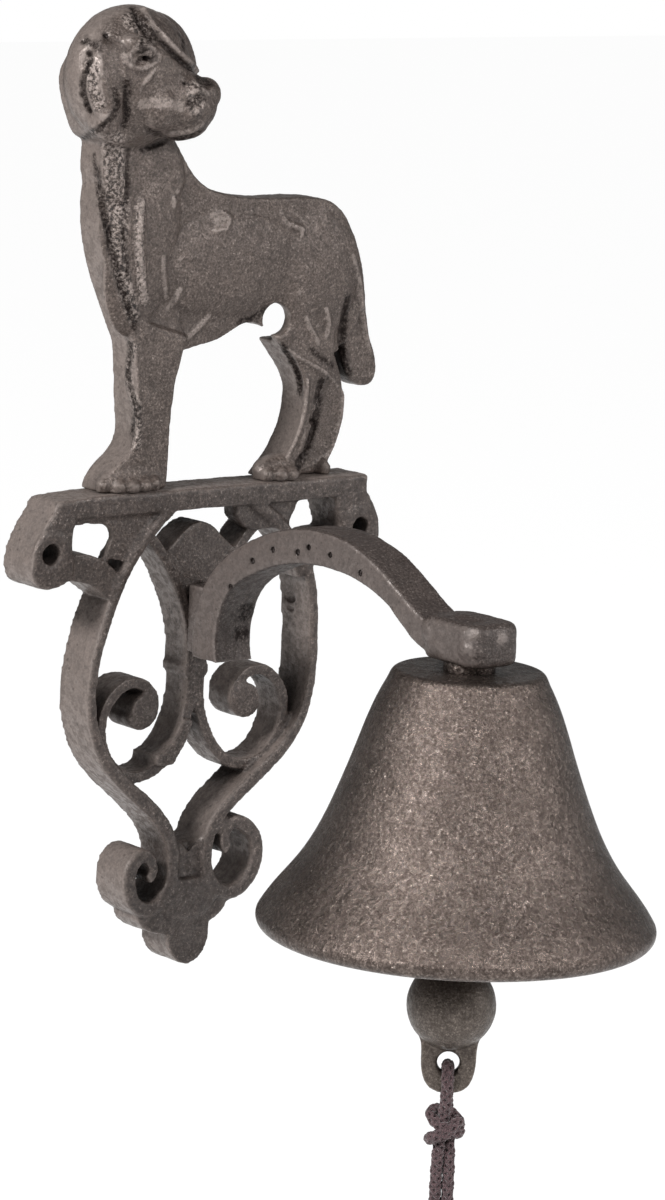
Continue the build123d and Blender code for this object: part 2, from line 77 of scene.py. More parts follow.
class Graph:
    """A material and short calls that lay its nodes."""

    def __init__(self, name: str) -> None:
        """Start an empty material with a name."""
        self.material = bpy.data.materials.new(name)
        self.material.use_nodes = True
        self.tree = self.material.node_tree
        self.tree.nodes.clear()
        self.output = self.tree.nodes.new("ShaderNodeOutputMaterial")
        self.shader = self.tree.nodes.new("ShaderNodeBsdfPrincipled")
        self.feed(self.shader.outputs[0], self.output.inputs[0])
        self.coords = self.tree.nodes.new("ShaderNodeTexCoord")

    def feed(self, value: Socket | Colour | float, target: Socket) -> None:
        """Link an output to an input, or fix the input at a colour or a number."""
        if isinstance(value, tuple):
            target.default_value = (*value, 1)
        elif isinstance(value, float):
            target.default_value = value
        else:
            self.tree.links.new(value, target)

    def node(
        self, kind: str, inputs: dict[str | int, Socket | Colour | float], **settings: str | int | bool
    ) -> bpy.types.Node:
        """Lay a node.

        Args:
            kind: the node's type, without its prefix.
            inputs: what goes into each input.
            settings: the node's settings.

        Returns:
            The node.
        """
        node = self.tree.nodes.new(f"ShaderNode{kind}")
        for name, setting in settings.items():
            setattr(node, name, setting)
        for key, value in inputs.items():
            self.feed(value, node.inputs[key])
        return node

    def noise(self, size_mm: float, detail: float, rough: float = 0.5) -> Socket:
        """Lay a noise over the object.

        Args:
            size_mm: width of the largest blotch.
            detail: octaves of finer noise.
            rough: strength of the finer octaves.

        Returns:
            The noise, from 0 to 1.
        """
        scale = {"Scale": 1 / (size_mm * MM), "Detail": detail, "Roughness": rough}
        return self.node("TexNoise", {"Vector": self.coords.outputs["Object"], **scale}).outputs["Fac"]

    def cells(self, size_mm: float) -> Socket:
        """Distance to the nearest of scattered points, in cells of a size."""
        inputs = {"Vector": self.coords.outputs["Object"], "Scale": 1 / (size_mm * MM)}
        return self.node("TexVoronoi", inputs).outputs["Distance"]

    def ramp(self, source: Socket, low: float, high: float, start: float = 0.0, end: float = 1.0) -> Socket:
        """Map one range onto another, smoothly and clamped.

        Args:
            source: the value to map.
            low: source value that gives start.
            high: source value that gives end.
            start: result at low.
            end: result at high.

        Returns:
            The mapped value.
        """
        limits = {"From Min": low, "From Max": high, "To Min": start, "To Max": end}
        node = self.node("MapRange", {"Value": source, **limits}, interpolation_type="SMOOTHSTEP")
        return node.outputs["Result"]

    def math(self, operation: str, first: Socket, second: Socket | float) -> Socket:
        """Combine two values by a math operation."""
        return self.node("Math", {0: first, 1: second}, operation=operation).outputs[0]

    def product(self, first: Socket, second: Socket | float) -> Socket:
        """Multiply two values."""
        return self.math("MULTIPLY", first, second)

    def mix(self, factor: Socket, first: Socket | Colour, second: Socket | Colour) -> Socket:
        """Blend two colours, by the second one's share."""
        return self.node("Mix", {0: factor, 6: first, 7: second}, data_type="RGBA").outputs[2]

    def layers(self, base: Colour, *layers: tuple[Socket, float, Colour]) -> Socket:
        """Lay colours over each other.

        Args:
            base: the lowest colour.
            layers: each layer's pattern, its strength and its colour.

        Returns:
            The blended colour.
        """
        colour = base
        for pattern, strength, tone in layers:
            colour = self.mix(self.product(pattern, strength), colour, tone)
        return colour

    def bump(self, height: Socket, depth_mm: float, under: Socket | None = None) -> Socket:
        """Raise the surface's normal by a height.

        Args:
            height: the height, from 0 to 1.
            depth_mm: what a height of 1 stands for.
            under: normal that this one is laid over.

        Returns:
            The bumped normal.
        """
        inputs = {"Strength": 1.0, "Distance": depth_mm * MM, "Height": height}
        if under is not None:
            inputs["Normal"] = under
        return self.node("Bump", inputs).outputs["Normal"]

    def bend(self) -> Socket:
        """How sharply the surface bends: below 0.5 in a hollow, above it on an arris."""
        return self.node("NewGeometry", {}).outputs["Pointiness"]

    def shade(self, reach_mm: float) -> Socket:
        """How open the surface is within a reach: low in corners and between forms."""
        inputs = {"Distance": reach_mm * MM}
        return self.node("AmbientOcclusion", inputs, samples=6, only_local=True).outputs["AO"]

    def tint(self, name: str) -> Socket:
        """How near the surface is to the forms of a tint, from 0 to 1."""
        return self.node("Attribute", {}, attribute_name=name).outputs["Fac"]

    def facing(self, axis: int) -> Socket:
        """How far the surface faces along the object's X, Y or Z, from 0 to 1."""
        along = self.node("SeparateXYZ", {0: self.coords.outputs["Normal"]}).outputs[axis]
        return self.math("ABSOLUTE", along, 0.0)

    def finish(
        self,
        colour: Socket,
        roughness: Socket,
        normal: Socket,
        metallic: float,
        specular: Socket | float = 0.5,
    ) -> Material:
        """Feed the shader and give back the finished material."""
        names = ("Base Color", "Roughness", "Normal", "Metallic", "Specular IOR Level")
        for name, value in zip(names, (colour, roughness, normal, metallic, specular)):
            self.feed(value, self.shader.inputs[name])
        return self.material


class Smooth(Enum):
    """Which faces of a casting are smoother than the rest, and painted paler, partly as lit faces."""

    NONE = "none"
    EDGES = "drawn edges"
    FLANKS = "left and right"


@dataclass(frozen=True)
class SandCastIron:
    """Brown-coated iron with the grain of the sand mould.

    Attributes:
        name: the material's name.
        base: colour of the coating.
        dark: colour in pits, in oxide patches of wear and of the painted shade in hollows.
        pale: colour of the smooth sides, painted paler partly as lit faces, of rubbed grains and glints, and
            of the painted highlights.
        grain_mm: width of the mould's grains.
        grain_depth_mm: height of the grains.
        sheen: roughness where the coating is rubbed, and elsewhere.
        smooth: which faces are smooth.
        side_pale_and_lit: how much paler the smooth faces are painted, partly for their smoother coating and
            partly as painted light.
        metal: metallic level.
        corner_mm: how far the painted shade of the corners reaches.
        grime_and_shade: colour of dirt and of the painted shade in grooves, gaps and corners.
    """

    name: str
    base: Colour
    dark: Colour
    pale: Colour
    grain_mm: float
    grain_depth_mm: float
    sheen: tuple[float, float]
    smooth: Smooth
    side_pale_and_lit: float
    metal: float
    corner_mm: float = 5.0
    grime_and_shade: Colour = srgb(18, 13, 12)

    def smooth_share(self, graph: Graph) -> Socket:
        """How smooth the surface is, from 0 to 1."""
        if self.smooth is Smooth.FLANKS:
            return graph.ramp(graph.facing(0), 0.55, 0.85)
        low, high = (0.25, 0.7) if self.smooth is Smooth.EDGES else (-2.0, -1.0)
        return graph.ramp(graph.facing(1), low, high, 1.0, 0.0)

    def material(self) -> Material:
        """Lay the coating, its mottling, its rubbed grains, its pits, its hair and its dirt, with painted
        shade, painted highlights and paler lit sides.
        """
        graph = Graph(self.name)
        side = self.smooth_share(graph)
        rough_share = graph.ramp(side, 0.0, 1.0, 1.0, 0.3)
        blotch = graph.ramp(graph.noise(11.0, 3.0, 0.6), 0.40, 0.64)
        grain = graph.noise(self.grain_mm, 4.0, 0.75)
        mottle = graph.ramp(graph.noise(self.grain_mm * 3.2, 3.0, 0.7), 0.42, 0.60)
        dark_grain = graph.product(graph.ramp(grain, 0.40, 0.56, 1.0, 0.0), rough_share)
        # Pale specks on the grain's crests: bare metal, partly painted glints.
        speck = graph.product(graph.ramp(grain, 0.58, 0.68), rough_share)
        pit = graph.ramp(graph.cells(self.grain_mm * 3.4), 0.08, 0.22, 1.0, 0.0)
        # Painted shade: darker where the surface is hollow.
        hollow = graph.ramp(graph.bend(), 0.42, 0.495, 1.0, 0.0)
        arris = graph.ramp(graph.bend(), 0.515, 0.58)
        ragged = graph.ramp(graph.noise(1.1, 5.0, 0.8), 0.3, 0.7, 0.3, 1.5)
        # Dark marks written on the piece: dirt, and painted shade in grooves, pits and gaps.
        grime_and_shade = graph.ramp(graph.product(graph.tint("grime_and_shade"), ragged), 0.1, 1.2)
        # Bright marks written on the piece: rubbed coating, and painted highlights.
        worn_and_highlight = graph.ramp(graph.product(graph.tint("worn_and_highlight"), ragged), 0.3, 1.1)
        fur = graph.ramp(graph.tint("fur"), 0.1, 0.7)
        hair = graph.noise(0.95, 3.0, 0.7)
        # Painted shade: near-black laid where the ambient occlusion is low, in corners and between forms; the
        # specular is lowered there too.
        shade = graph.ramp(graph.shade(self.corner_mm), 0.35, 0.95, 1.0, 0.0)
        colour = graph.layers(
            self.base,
            (blotch, 0.3, self.dark),
            # Smooth faces painted paler: partly their smoother coating, partly painted light on the lit
            # sides.
            (side, self.side_pale_and_lit, self.pale),
            (mottle, 0.3, self.dark),
            (dark_grain, 0.75, self.dark),
            (speck, 0.7, self.pale),
            (arris, 0.4, self.pale),
            (hollow, 0.75, self.dark),
            (pit, 0.5, self.dark),
            (graph.product(graph.ramp(hair, 0.47, 0.39), fur), 0.85, self.grime_and_shade),
            (graph.product(graph.ramp(hair, 0.49, 0.58), fur), 0.85, self.pale),
            (worn_and_highlight, 0.5, self.pale),
            (grime_and_shade, 0.9, self.grime_and_shade),
            (shade, 0.78, self.grime_and_shade),
        )
        roughness = graph.ramp(mottle, 0.0, 1.0, *self.sheen)
        normal = graph.bump(graph.noise(2.0, 3.0, 0.6), self.grain_depth_mm * 1.6)
        normal = graph.bump(graph.product(grain, rough_share), self.grain_depth_mm, normal)
        normal = graph.bump(graph.product(hair, fur), 0.5, normal)
        gloss = graph.ramp(graph.math("MAXIMUM", grime_and_shade, shade), 0.0, 1.0, 0.45, 0.08)
        return graph.finish(colour, roughness, normal, self.metal, gloss)


@dataclass(frozen=True)
class DullSteel:
    """Plain steel hardware, dulled and slightly stained.

    Attributes:
        name: the material's name.
        base: colour of the metal.
        stain: colour of the stains.
    """

    name: str
    base: Colour
    stain: Colour

    def material(self) -> Material:
        """Lay the metal and its stains."""
        graph = Graph(self.name)
        stain = graph.ramp(graph.noise(2.5, 4.0, 0.6), 0.45, 0.65)
        colour = graph.mix(stain, self.base, self.stain)
        roughness = graph.ramp(stain, 0.0, 1.0, 0.34, 0.6)
        normal = graph.bump(graph.noise(0.5, 2.0), 0.02)
        return graph.finish(colour, roughness, normal, 0.9)


@dataclass(frozen=True)
class BraidedYarn:
    """Yarn of the pull cord.

    Attributes:
        name: the material's name.
        base: colour of the yarn.
        fleck: colour of its lighter fibres.
    """

    name: str
    base: Colour
    fleck: Colour

    def material(self) -> Material:
        """Lay the yarn and its fibres."""
        graph = Graph(self.name)
        fibre = graph.ramp(graph.noise(0.35, 2.0, 0.6), 0.42, 0.68)
        tone = graph.ramp(graph.noise(4.0, 2.0), 0.35, 0.7)
        colour = graph.layers(self.base, (fibre, 0.8, self.fleck), (tone, 0.3, self.base))
        roughness = graph.ramp(fibre, 0.0, 1.0, 0.75, 0.6)
        normal = graph.bump(graph.noise(0.2, 2.0), 0.05)
        graph.shader.inputs["Sheen Weight"].default_value = 0.25
        return graph.finish(colour, roughness, normal, 0.0, 0.35)


BRACKET_IRON = SandCastIron(
    "bracket_iron", srgb(76, 66, 61), srgb(32, 25, 22), srgb(136, 125, 119),
    grain_mm=0.7, grain_depth_mm=0.2, sheen=(0.36, 0.6),
    smooth=Smooth.EDGES, side_pale_and_lit=0.5, metal=0.2, corner_mm=9.0,
)
DOG_IRON = SandCastIron(
    "dog_iron", srgb(92, 81, 75), srgb(40, 32, 28), srgb(142, 131, 125),
    grain_mm=0.6, grain_depth_mm=0.17, sheen=(0.32, 0.52),
    smooth=Smooth.EDGES, side_pale_and_lit=0.5, metal=0.35,
)
ARM_IRON = SandCastIron(
    "arm_iron", srgb(72, 63, 59), srgb(34, 26, 23), srgb(132, 122, 117),
    grain_mm=0.62, grain_depth_mm=0.2, sheen=(0.36, 0.6),
    smooth=Smooth.FLANKS, side_pale_and_lit=0.25, metal=0.25, corner_mm=8.0,
)
BELL_IRON = SandCastIron(
    "bell_iron", srgb(104, 93, 87), srgb(48, 40, 36), srgb(160, 150, 143),
    grain_mm=0.75, grain_depth_mm=0.26, sheen=(0.24, 0.38),
    smooth=Smooth.NONE, side_pale_and_lit=0.0, metal=0.85, corner_mm=4.0,
)
CLAPPER_IRON = SandCastIron(
    "clapper_iron", srgb(100, 91, 84), srgb(58, 50, 45), srgb(150, 140, 130),
    grain_mm=0.6, grain_depth_mm=0.16, sheen=(0.28, 0.46),
    smooth=Smooth.NONE, side_pale_and_lit=0.0, metal=0.6,
)
HARDWARE = DullSteel("hardware_steel", srgb(120, 116, 112), srgb(84, 76, 70))
YARN = BraidedYarn("cord_yarn", srgb(46, 30, 32), srgb(94, 70, 72))


def deselect() -> None:
    """Leave nothing selected."""
    bpy.ops.object.select_all(action="DESELECT")


def pick(piece: Piece) -> None:
    """Select a piece alone and make it the active one."""
    deselect()
    bpy.context.view_layer.objects.active = piece
    piece.select_set(True)


def open_mesh(piece: Piece) -> None:
    """Pick a piece and open its mesh with all of it selected."""
    pick(piece)
    bpy.ops.object.mode_set(mode="EDIT")
    bpy.ops.mesh.select_all(action="SELECT")


def close_mesh() -> None:
    """Close the mesh that is open."""
    bpy.ops.object.mode_set(mode="OBJECT")


def add(name: str, data: bpy.types.ID) -> Piece:
    """Put data into the scene as a new object."""
    piece = bpy.data.objects.new(name, data)
    bpy.context.scene.collection.objects.link(piece)
    return piece


def settle(piece: Piece) -> None:
    """Put a piece's place into its mesh, leaving the object at the origin."""
    pick(piece)
    bpy.ops.object.transform_apply(location=True, rotation=True, scale=True)


def join(pieces: list[Piece]) -> Piece:
    """Join pieces into the first of them."""
    pick(pieces[0])
    for piece in pieces:
        piece.select_set(True)
    bpy.ops.object.join()
    return bpy.context.active_object


def apply_modifier(piece: Piece, kind: str, **settings: float | str | bool) -> None:
    """Add a modifier to a piece and apply it.

    Args:
        piece: the piece.
        kind: the modifier's type.
        settings: the modifier's settings.
    """
    pick(piece)
    modifier = piece.modifiers.new(kind.lower(), kind)
    for name, value in settings.items():
        setattr(modifier, name, value)
    bpy.ops.object.modifier_apply(modifier=modifier.name)


def copy_of_node(node: str, name: str) -> Piece:
    """Copy a CAD node's mesh, with its points merged, as a new piece."""
    piece = add(name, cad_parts[node].data.copy())
    open_mesh(piece)
    bpy.ops.mesh.remove_doubles(threshold=0.00001)
    close_mesh()
    return piece


def dress(piece: Piece, material: Material, body: Body, slot: Slot, *nodes: str) -> Piece:
    """Give a finished piece its material and its body, and hide the CAD nodes that it stands for.

    Args:
        piece: the piece.
        material: its material.
        body: the body that it moves with.
        slot: the slot of its finish; not used.
        nodes: the CAD nodes that it replaces.

    Returns:
        The piece.
    """
    piece.data.materials.clear()
    piece.data.materials.append(material)
    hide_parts(*nodes)
    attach(piece, body.value)
    log.info("%s: %d faces", piece.name, len(piece.data.polygons))
    return piece


def dress_nodes(material: Material, *nodes: str) -> None:
    """Give CAD nodes that stay as they are a material."""
    for node in nodes:
        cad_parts[node].data.materials.clear()
        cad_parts[node].data.materials.append(material)
        log.info("%s: CAD form", node)


@dataclass
class Studio:
    """Camera, lamps, floor and background.

    Attributes:
        azimuth: camera's angle about the vertical, in degrees, minus for the left.
        elevation: camera's height angle, in degrees.
        roll: camera's roll, in degrees.
        distance: from the camera to what it aims at, in metres.
        target: point that it aims at.
        lens: focal length, in millimetres on a 36 mm frame.
        floor_z: height of the floor.
        room_light: strength of the even light.
    """

    azimuth: float = -40.0
    elevation: float = 10.41
    roll: float = 2.78
    distance: float = 1.2922
    target: Point = (0.01193, -0.05001, -0.01046)
    lens: float = 150.0
    floor_z: float = -0.235
    room_light: float = 0.22

    def camera(self) -> None:
        """Set the camera at the photograph's viewing angle."""
        azimuth, elevation, roll = (math.radians(v) for v in (self.azimuth, self.elevation, self.roll))
        back = Vector((
            math.sin(azimuth) * math.cos(elevation),
            -math.cos(azimuth) * math.cos(elevation),
            math.sin(elevation),
        ))
        level = Vector((math.cos(azimuth), math.sin(azimuth), 0.0))
        upright = back.cross(level)
        right = level * math.cos(roll) + upright * math.sin(roll)
        up = upright * math.cos(roll) - level * math.sin(roll)
        data = bpy.data.cameras.new("camera")
        data.lens = self.lens
        data.sensor_width = 36.0
        data.clip_end = 20.0
        camera = add("camera", data)
        turn = Matrix((right, up, back)).transposed().to_4x4()
        camera.matrix_world = Matrix.Translation(Vector(self.target) + back * self.distance) @ turn
        bpy.context.scene.camera = camera

    def lamp(self, name: str, place: Point, size: float, power: float) -> None:
        """Hang a soft square lamp that faces the object.

        Args:
            name: the lamp's name.
            place: where it hangs.
            size: its width, in metres.
            power: its power, in watts.
        """
        data = bpy.data.lights.new(name, "AREA")
        data.size = size
        data.energy = power
        lamp = add(name, data)
        lamp.location = place
        lamp.rotation_euler = (Vector((0, -0.06, 0)) - Vector(place)).to_track_quat("-Z", "Y").to_euler()

    def world(self) -> None:
        """Light the room evenly and show it white."""
        world = bpy.data.worlds.new("studio")
        bpy.context.scene.world = world
        world.use_nodes = True
        tree = world.node_tree
        tree.nodes.clear()
        output = tree.nodes.new("ShaderNodeOutputWorld")
        path = tree.nodes.new("ShaderNodeLightPath")
        choice = tree.nodes.new("ShaderNodeMixShader")
        tree.links.new(path.outputs["Is Camera Ray"], choice.inputs[0])
        for strength, socket in ((self.room_light, choice.inputs[1]), (1.0, choice.inputs[2])):
            light = tree.nodes.new("ShaderNodeBackground")
            light.inputs["Color"].default_value = (1, 1, 1, 1)
            light.inputs["Strength"].default_value = strength
            tree.links.new(light.outputs[0], socket)
        tree.links.new(choice.outputs[0], output.inputs[0])

    def floor(self) -> None:
        """Lay the pale floor, which shows the object's shadow only."""
        deselect()
        bpy.ops.mesh.primitive_plane_add(size=8.0, location=(0, 0, self.floor_z))
        floor = bpy.context.active_object
        floor.name = "floor"
        settle(floor)
        graph = Graph("floor_paint")
        graph.feed((0.86, 0.86, 0.86), graph.shader.inputs["Base Color"])
        graph.feed(0.9, graph.shader.inputs["Roughness"])
        glow = graph.node("Emission", {"Color": (1.0, 1.0, 1.0), "Strength": 1.08})
        seen = graph.node("LightPath", {}).outputs["Is Camera Ray"]
        inputs = {0: graph.product(seen, 0.88), 1: graph.shader.outputs[0], 2: glow.outputs[0]}
        graph.feed(graph.node("MixShader", inputs).outputs[0], graph.output.inputs[0])
        floor.data.materials.append(graph.material)

    def build(self) -> None:
        """Set up the whole studio."""
        bpy.context.scene.view_settings.view_transform = "Standard"
        self.camera()
        self.lamp("key_lamp", (-1.25, -0.15, 0.8), 0.32, 32.0)
        self.lamp("front_lamp", (0.13, -1.3, 0.8), 0.28, 15.0)
        self.lamp("right_lamp", (1.0, -0.95, 0.35), 0.5, 6.0)
        self.world()
        self.floor()


def mm(place: Point) -> Vector:
    """Turn a place, across, out from the wall and up in millimetres, into the row frame."""
    return Vector((place[0] * MM, -place[1] * MM, place[2] * MM))


FRONT_LEFT = Vector((-0.632, -0.753, 0.181)).normalized()


def laid(surface: Piece, spot: Vector, lift: float = 0.0) -> Vector:
    """Lay a point on a surface, seen from the front left.

    Args:
        surface: the piece that carries it.
        spot: the point, in the row frame.
        lift: how far it stands off the surface, in millimetres.

    Returns:
        The point on the surface, in the row frame.
    """
    hit, place, normal, _ = surface.ray_cast(spot + FRONT_LEFT * 20 * MM, -FRONT_LEFT, distance=28 * MM)
    if not hit:
        _, place, normal, _ = surface.closest_point_on_mesh(spot)
    return place + normal * lift * MM


@dataclass(frozen=True)
class Lump:
    """An egg-shaped form that is pressed onto a casting's pattern, or out of it.

    Attributes:
        place: its middle, across, out from the wall and up, in millimetres.
        radii: its half sizes across, out and up, in millimetres.
        turn: its turn about each axis, in degrees.
    """

    place: Point
    radii: Point
    turn: Point = (0.0, 0.0, 0.0)

    def spots(self, surface: Piece) -> list[Vector]:
        """Its middle, laid on a surface."""
        return [laid(surface, mm(self.place))]

    def shape(self, surface: Piece) -> Piece:
        """Model the form, where it is, for the piece that carries it."""
        deselect()
        bpy.ops.mesh.primitive_uv_sphere_add(segments=20, ring_count=12, radius=MM, location=mm(self.place))
        form = bpy.context.active_object
        form.scale = self.radii
        form.rotation_euler = [math.radians(angle) for angle in self.turn]
        settle(form)
        return form


@dataclass(frozen=True)
class Stroke:
    """A ridge or a groove that follows a casting's surface and thins towards its ends.

    Attributes:
        line: places that it passes, across, out from the wall and up, in millimetres.
        width: its width in the middle, in millimetres.
        end: share of the width that its ends keep.
        lift: how far its middle stands off the surface, in millimetres.
    """

    line: tuple[Point, ...]
    width: float
    end: float
    lift: float

    def spots(self, surface: Piece) -> list[Vector]:
        """Close points along the line, laid on a surface."""
        places = [mm(place) for place in self.line]
        spots = [a.lerp(b, step / 8) for a, b in zip(places, places[1:]) for step in range(8)]
        spots.append(places[-1])
        for _ in range(4):
            inner = [(a + b + c) / 3 for a, b, c in zip(spots, spots[1:], spots[2:])]
            spots = [spots[0], *inner, spots[-1]]
        return [laid(surface, spot, self.lift) for spot in spots]

    def shape(self, surface: Piece) -> Piece:
        """Model the line as a round bar on the piece that carries it."""
        spots = self.spots(surface)
        data = bpy.data.curves.new("stroke", "CURVE")
        data.dimensions = "3D"
        data.bevel_depth = self.width / 2 * MM
        data.bevel_resolution = 2
        data.use_fill_caps = True
        spline = data.splines.new("POLY")
        last = len(spots) - 1
        spline.points.add(last)
        for index, (target, spot) in enumerate(zip(spline.points, spots)):
            target.co = (*spot, 1)
            target.radius = self.end + (1 - self.end) * math.sin(math.pi * index / last)
        pick(add("stroke", data))
        bpy.ops.object.convert(target="MESH")
        return bpy.context.active_object


@dataclass(frozen=True)
class Web:
    """A flat web of metal between forms of a casting.

    Attributes:
        back: how far its back stands out from the wall, in millimetres.
        front: how far its front stands out from the wall, in millimetres.
        outline: its corners, across and up, in millimetres.
    """

    back: float
    front: float
    outline: tuple[tuple[float, float], ...]

    def shape(self, _: Piece) -> Piece:
        """Model the web, where it is."""
        data = bpy.data.meshes.new("web")
        corners = [tuple(mm((across, self.back, up))) for across, up in self.outline]
        data.from_pydata(corners, [], [tuple(range(len(corners)))])
        web = add("web", data)
        open_mesh(web)
        depth = (self.back - self.front) * MM
        bpy.ops.mesh.extrude_region_move(TRANSFORM_OT_translate={"value": (0, depth, 0)})
        bpy.ops.mesh.select_all(action="SELECT")
        bpy.ops.mesh.normals_make_consistent(inside=False)
        close_mesh()
        return web


Marks = tuple[Lump | Stroke, ...]


def lumps(radii: Point, *places: Point) -> tuple[Lump, ...]:
    """Make lumps of one size at several places."""
    return tuple(Lump(place, radii) for place in places)


def strokes(*rows: tuple[float | Point, ...]) -> tuple[Stroke, ...]:
    """Make strokes from rows of the width, the ends' share, the lift and the places passed."""
    return tuple(Stroke(tuple(line), width, end, lift) for width, end, lift, *line in rows)


@dataclass
class Casting:
    """An iron casting, made from its CAD form with more clay on it and some cut away.

    Attributes:
        node: the CAD node.
        name: the finished piece's name.
        body: the body that it moves with.
        slot: the slot of its finish.
        grain: size of the finished surface's facets, in millimetres.
        waviness: depth of the broad unevenness, in millimetres.
        sand: depth of the sand mould's grain, in millimetres.
    """

    node: str
    name: str
    body: Body
    slot: Slot
    grain: float
    waviness: float = 0.35
    sand: float = 0.16

    def fuse(self, piece: Piece, grain: float) -> None:
        """Fuse all that a piece holds into one skin with facets of one size."""
        apply_modifier(piece, "REMESH", mode="VOXEL", voxel_size=grain * MM)

    def press(self, piece: Piece, forms: Marks | tuple[Web, ...], grain: float) -> None:
        """Add clay forms to a piece and fuse them with it.

        Args:
            piece: the piece.
            forms: the forms to add.
            grain: size of the fused skin's facets, in millimetres.
        """
        join([piece, *(form.shape(piece) for form in forms)])
        self.fuse(piece, grain)

    def carve(self, piece: Piece, forms: Marks) -> None:
        """Cut forms out of a piece."""
        cutter = join([form.shape(piece) for form in forms])
        self.fuse(cutter, 0.25)
        apply_modifier(piece, "BOOLEAN", operation="DIFFERENCE", object=cutter, solver="EXACT")
        bpy.data.objects.remove(cutter)

    def tint(self, piece: Piece, name: str, forms: Marks, reach: float) -> None:
        """Write how near each point of a piece is to some forms, for its finish to read.

        Args:
            piece: the piece.
            name: name of the attribute.
            forms: the forms.
            reach: how far the tint spreads from a form's edge, in millimetres.
        """
        count = len(piece.data.vertices)
        places = np.empty(count * 3, np.float32)
        piece.data.vertices.foreach_get("co", places)
        places = places.reshape(-1, 3)
        share = np.zeros(count, np.float32)
        for form in forms:
            size = max(form.radii[0], form.radii[2]) if isinstance(form, Lump) else form.width / 2
            size *= MM
            for spot in form.spots(piece):
                near = np.linalg.norm(places - np.array(spot, np.float32), axis=1)
                fade = np.clip(1 - (near - 0.5 * size) / (0.5 * size + reach * MM), 0, 1)
                share = np.maximum(share, fade * min(1.0, size / (0.9 * MM)))
        layer = piece.data.attributes.new(name, "FLOAT", "POINT")
        layer.data.foreach_set("value", share)

    def roughen(self, piece: Piece) -> None:
        """Round a piece's arrises and give it the unevenness of the sand mould."""
        apply_modifier(piece, "SMOOTH", factor=0.5, iterations=2)
        for label, size, depth in (("waves", 5.0, self.waviness), ("sand", 0.9, self.sand)):
            clouds = bpy.data.textures.new(f"{self.name}_{label}", "CLOUDS")
            clouds.noise_scale = size * MM
            clouds.noise_depth = 2
            settings = {"texture": clouds, "texture_coords": "LOCAL", "strength": depth * MM}
            apply_modifier(piece, "DISPLACE", mid_level=0.5, **settings)

    def cut_level(self, piece: Piece, height: float, keep_above: bool) -> None:
        """Cut a piece level and close it.

        Args:
            piece: the piece.
            height: height of the cut, in millimetres.
            keep_above: keep what is above the cut, otherwise what is below it.
        """
        open_mesh(piece)
        bpy.ops.mesh.bisect(
            plane_co=(0, 0, height * MM),
            plane_no=(0, 0, 1),
            use_fill=True,
            clear_inner=keep_above,
            clear_outer=not keep_above,
        )
        close_mesh()

    def finish(self, piece: Piece, material: Material) -> None:
        """Smooth a casting's shading and dress it."""
        pick(piece)
        bpy.ops.object.shade_smooth()
        dress(piece, material, self.body, self.slot, self.node)


# The dog's larger forms: toes, ear, cheek, brow and nose.
DOG_MASSES = lumps(
    (1.9, 2.2, 1.7), (-32.8, 8.6, 16.2), (-29.4, 11.4, 16.0), (-25.4, 12.4, 15.9), (-21.4, 12.2, 16.0),
    (-17.8, 11.0, 16.2), (20.0, 11.0, 16.0), (23.6, 12.4, 15.9), (27.4, 12.4, 15.9), (42.2, 7.4, 16.0),
) + (
    Lump((-41.2, 14.6, 119.4), (4.6, 4.8, 13.0), (0, -8, 0)),
    Lump((-41.6, 14.2, 110.4), (3.6, 4.6, 4.6), (0, -30, 0)),
    Lump((-34.4, 18.6, 129.6), (5.0, 3.6, 2.6), (0, 30, 0)),
    Lump((-27.0, 18.8, 114.6), (5.6, 4.4, 6.0), (0, 10, 0)),
    Lump((-19.8, 20.8, 113.4), (4.6, 3.6, 3.6), (0, -14, -20)),
    Lump((-13.6, 20.8, 118.4), (2.6, 2.8, 2.4)),
)
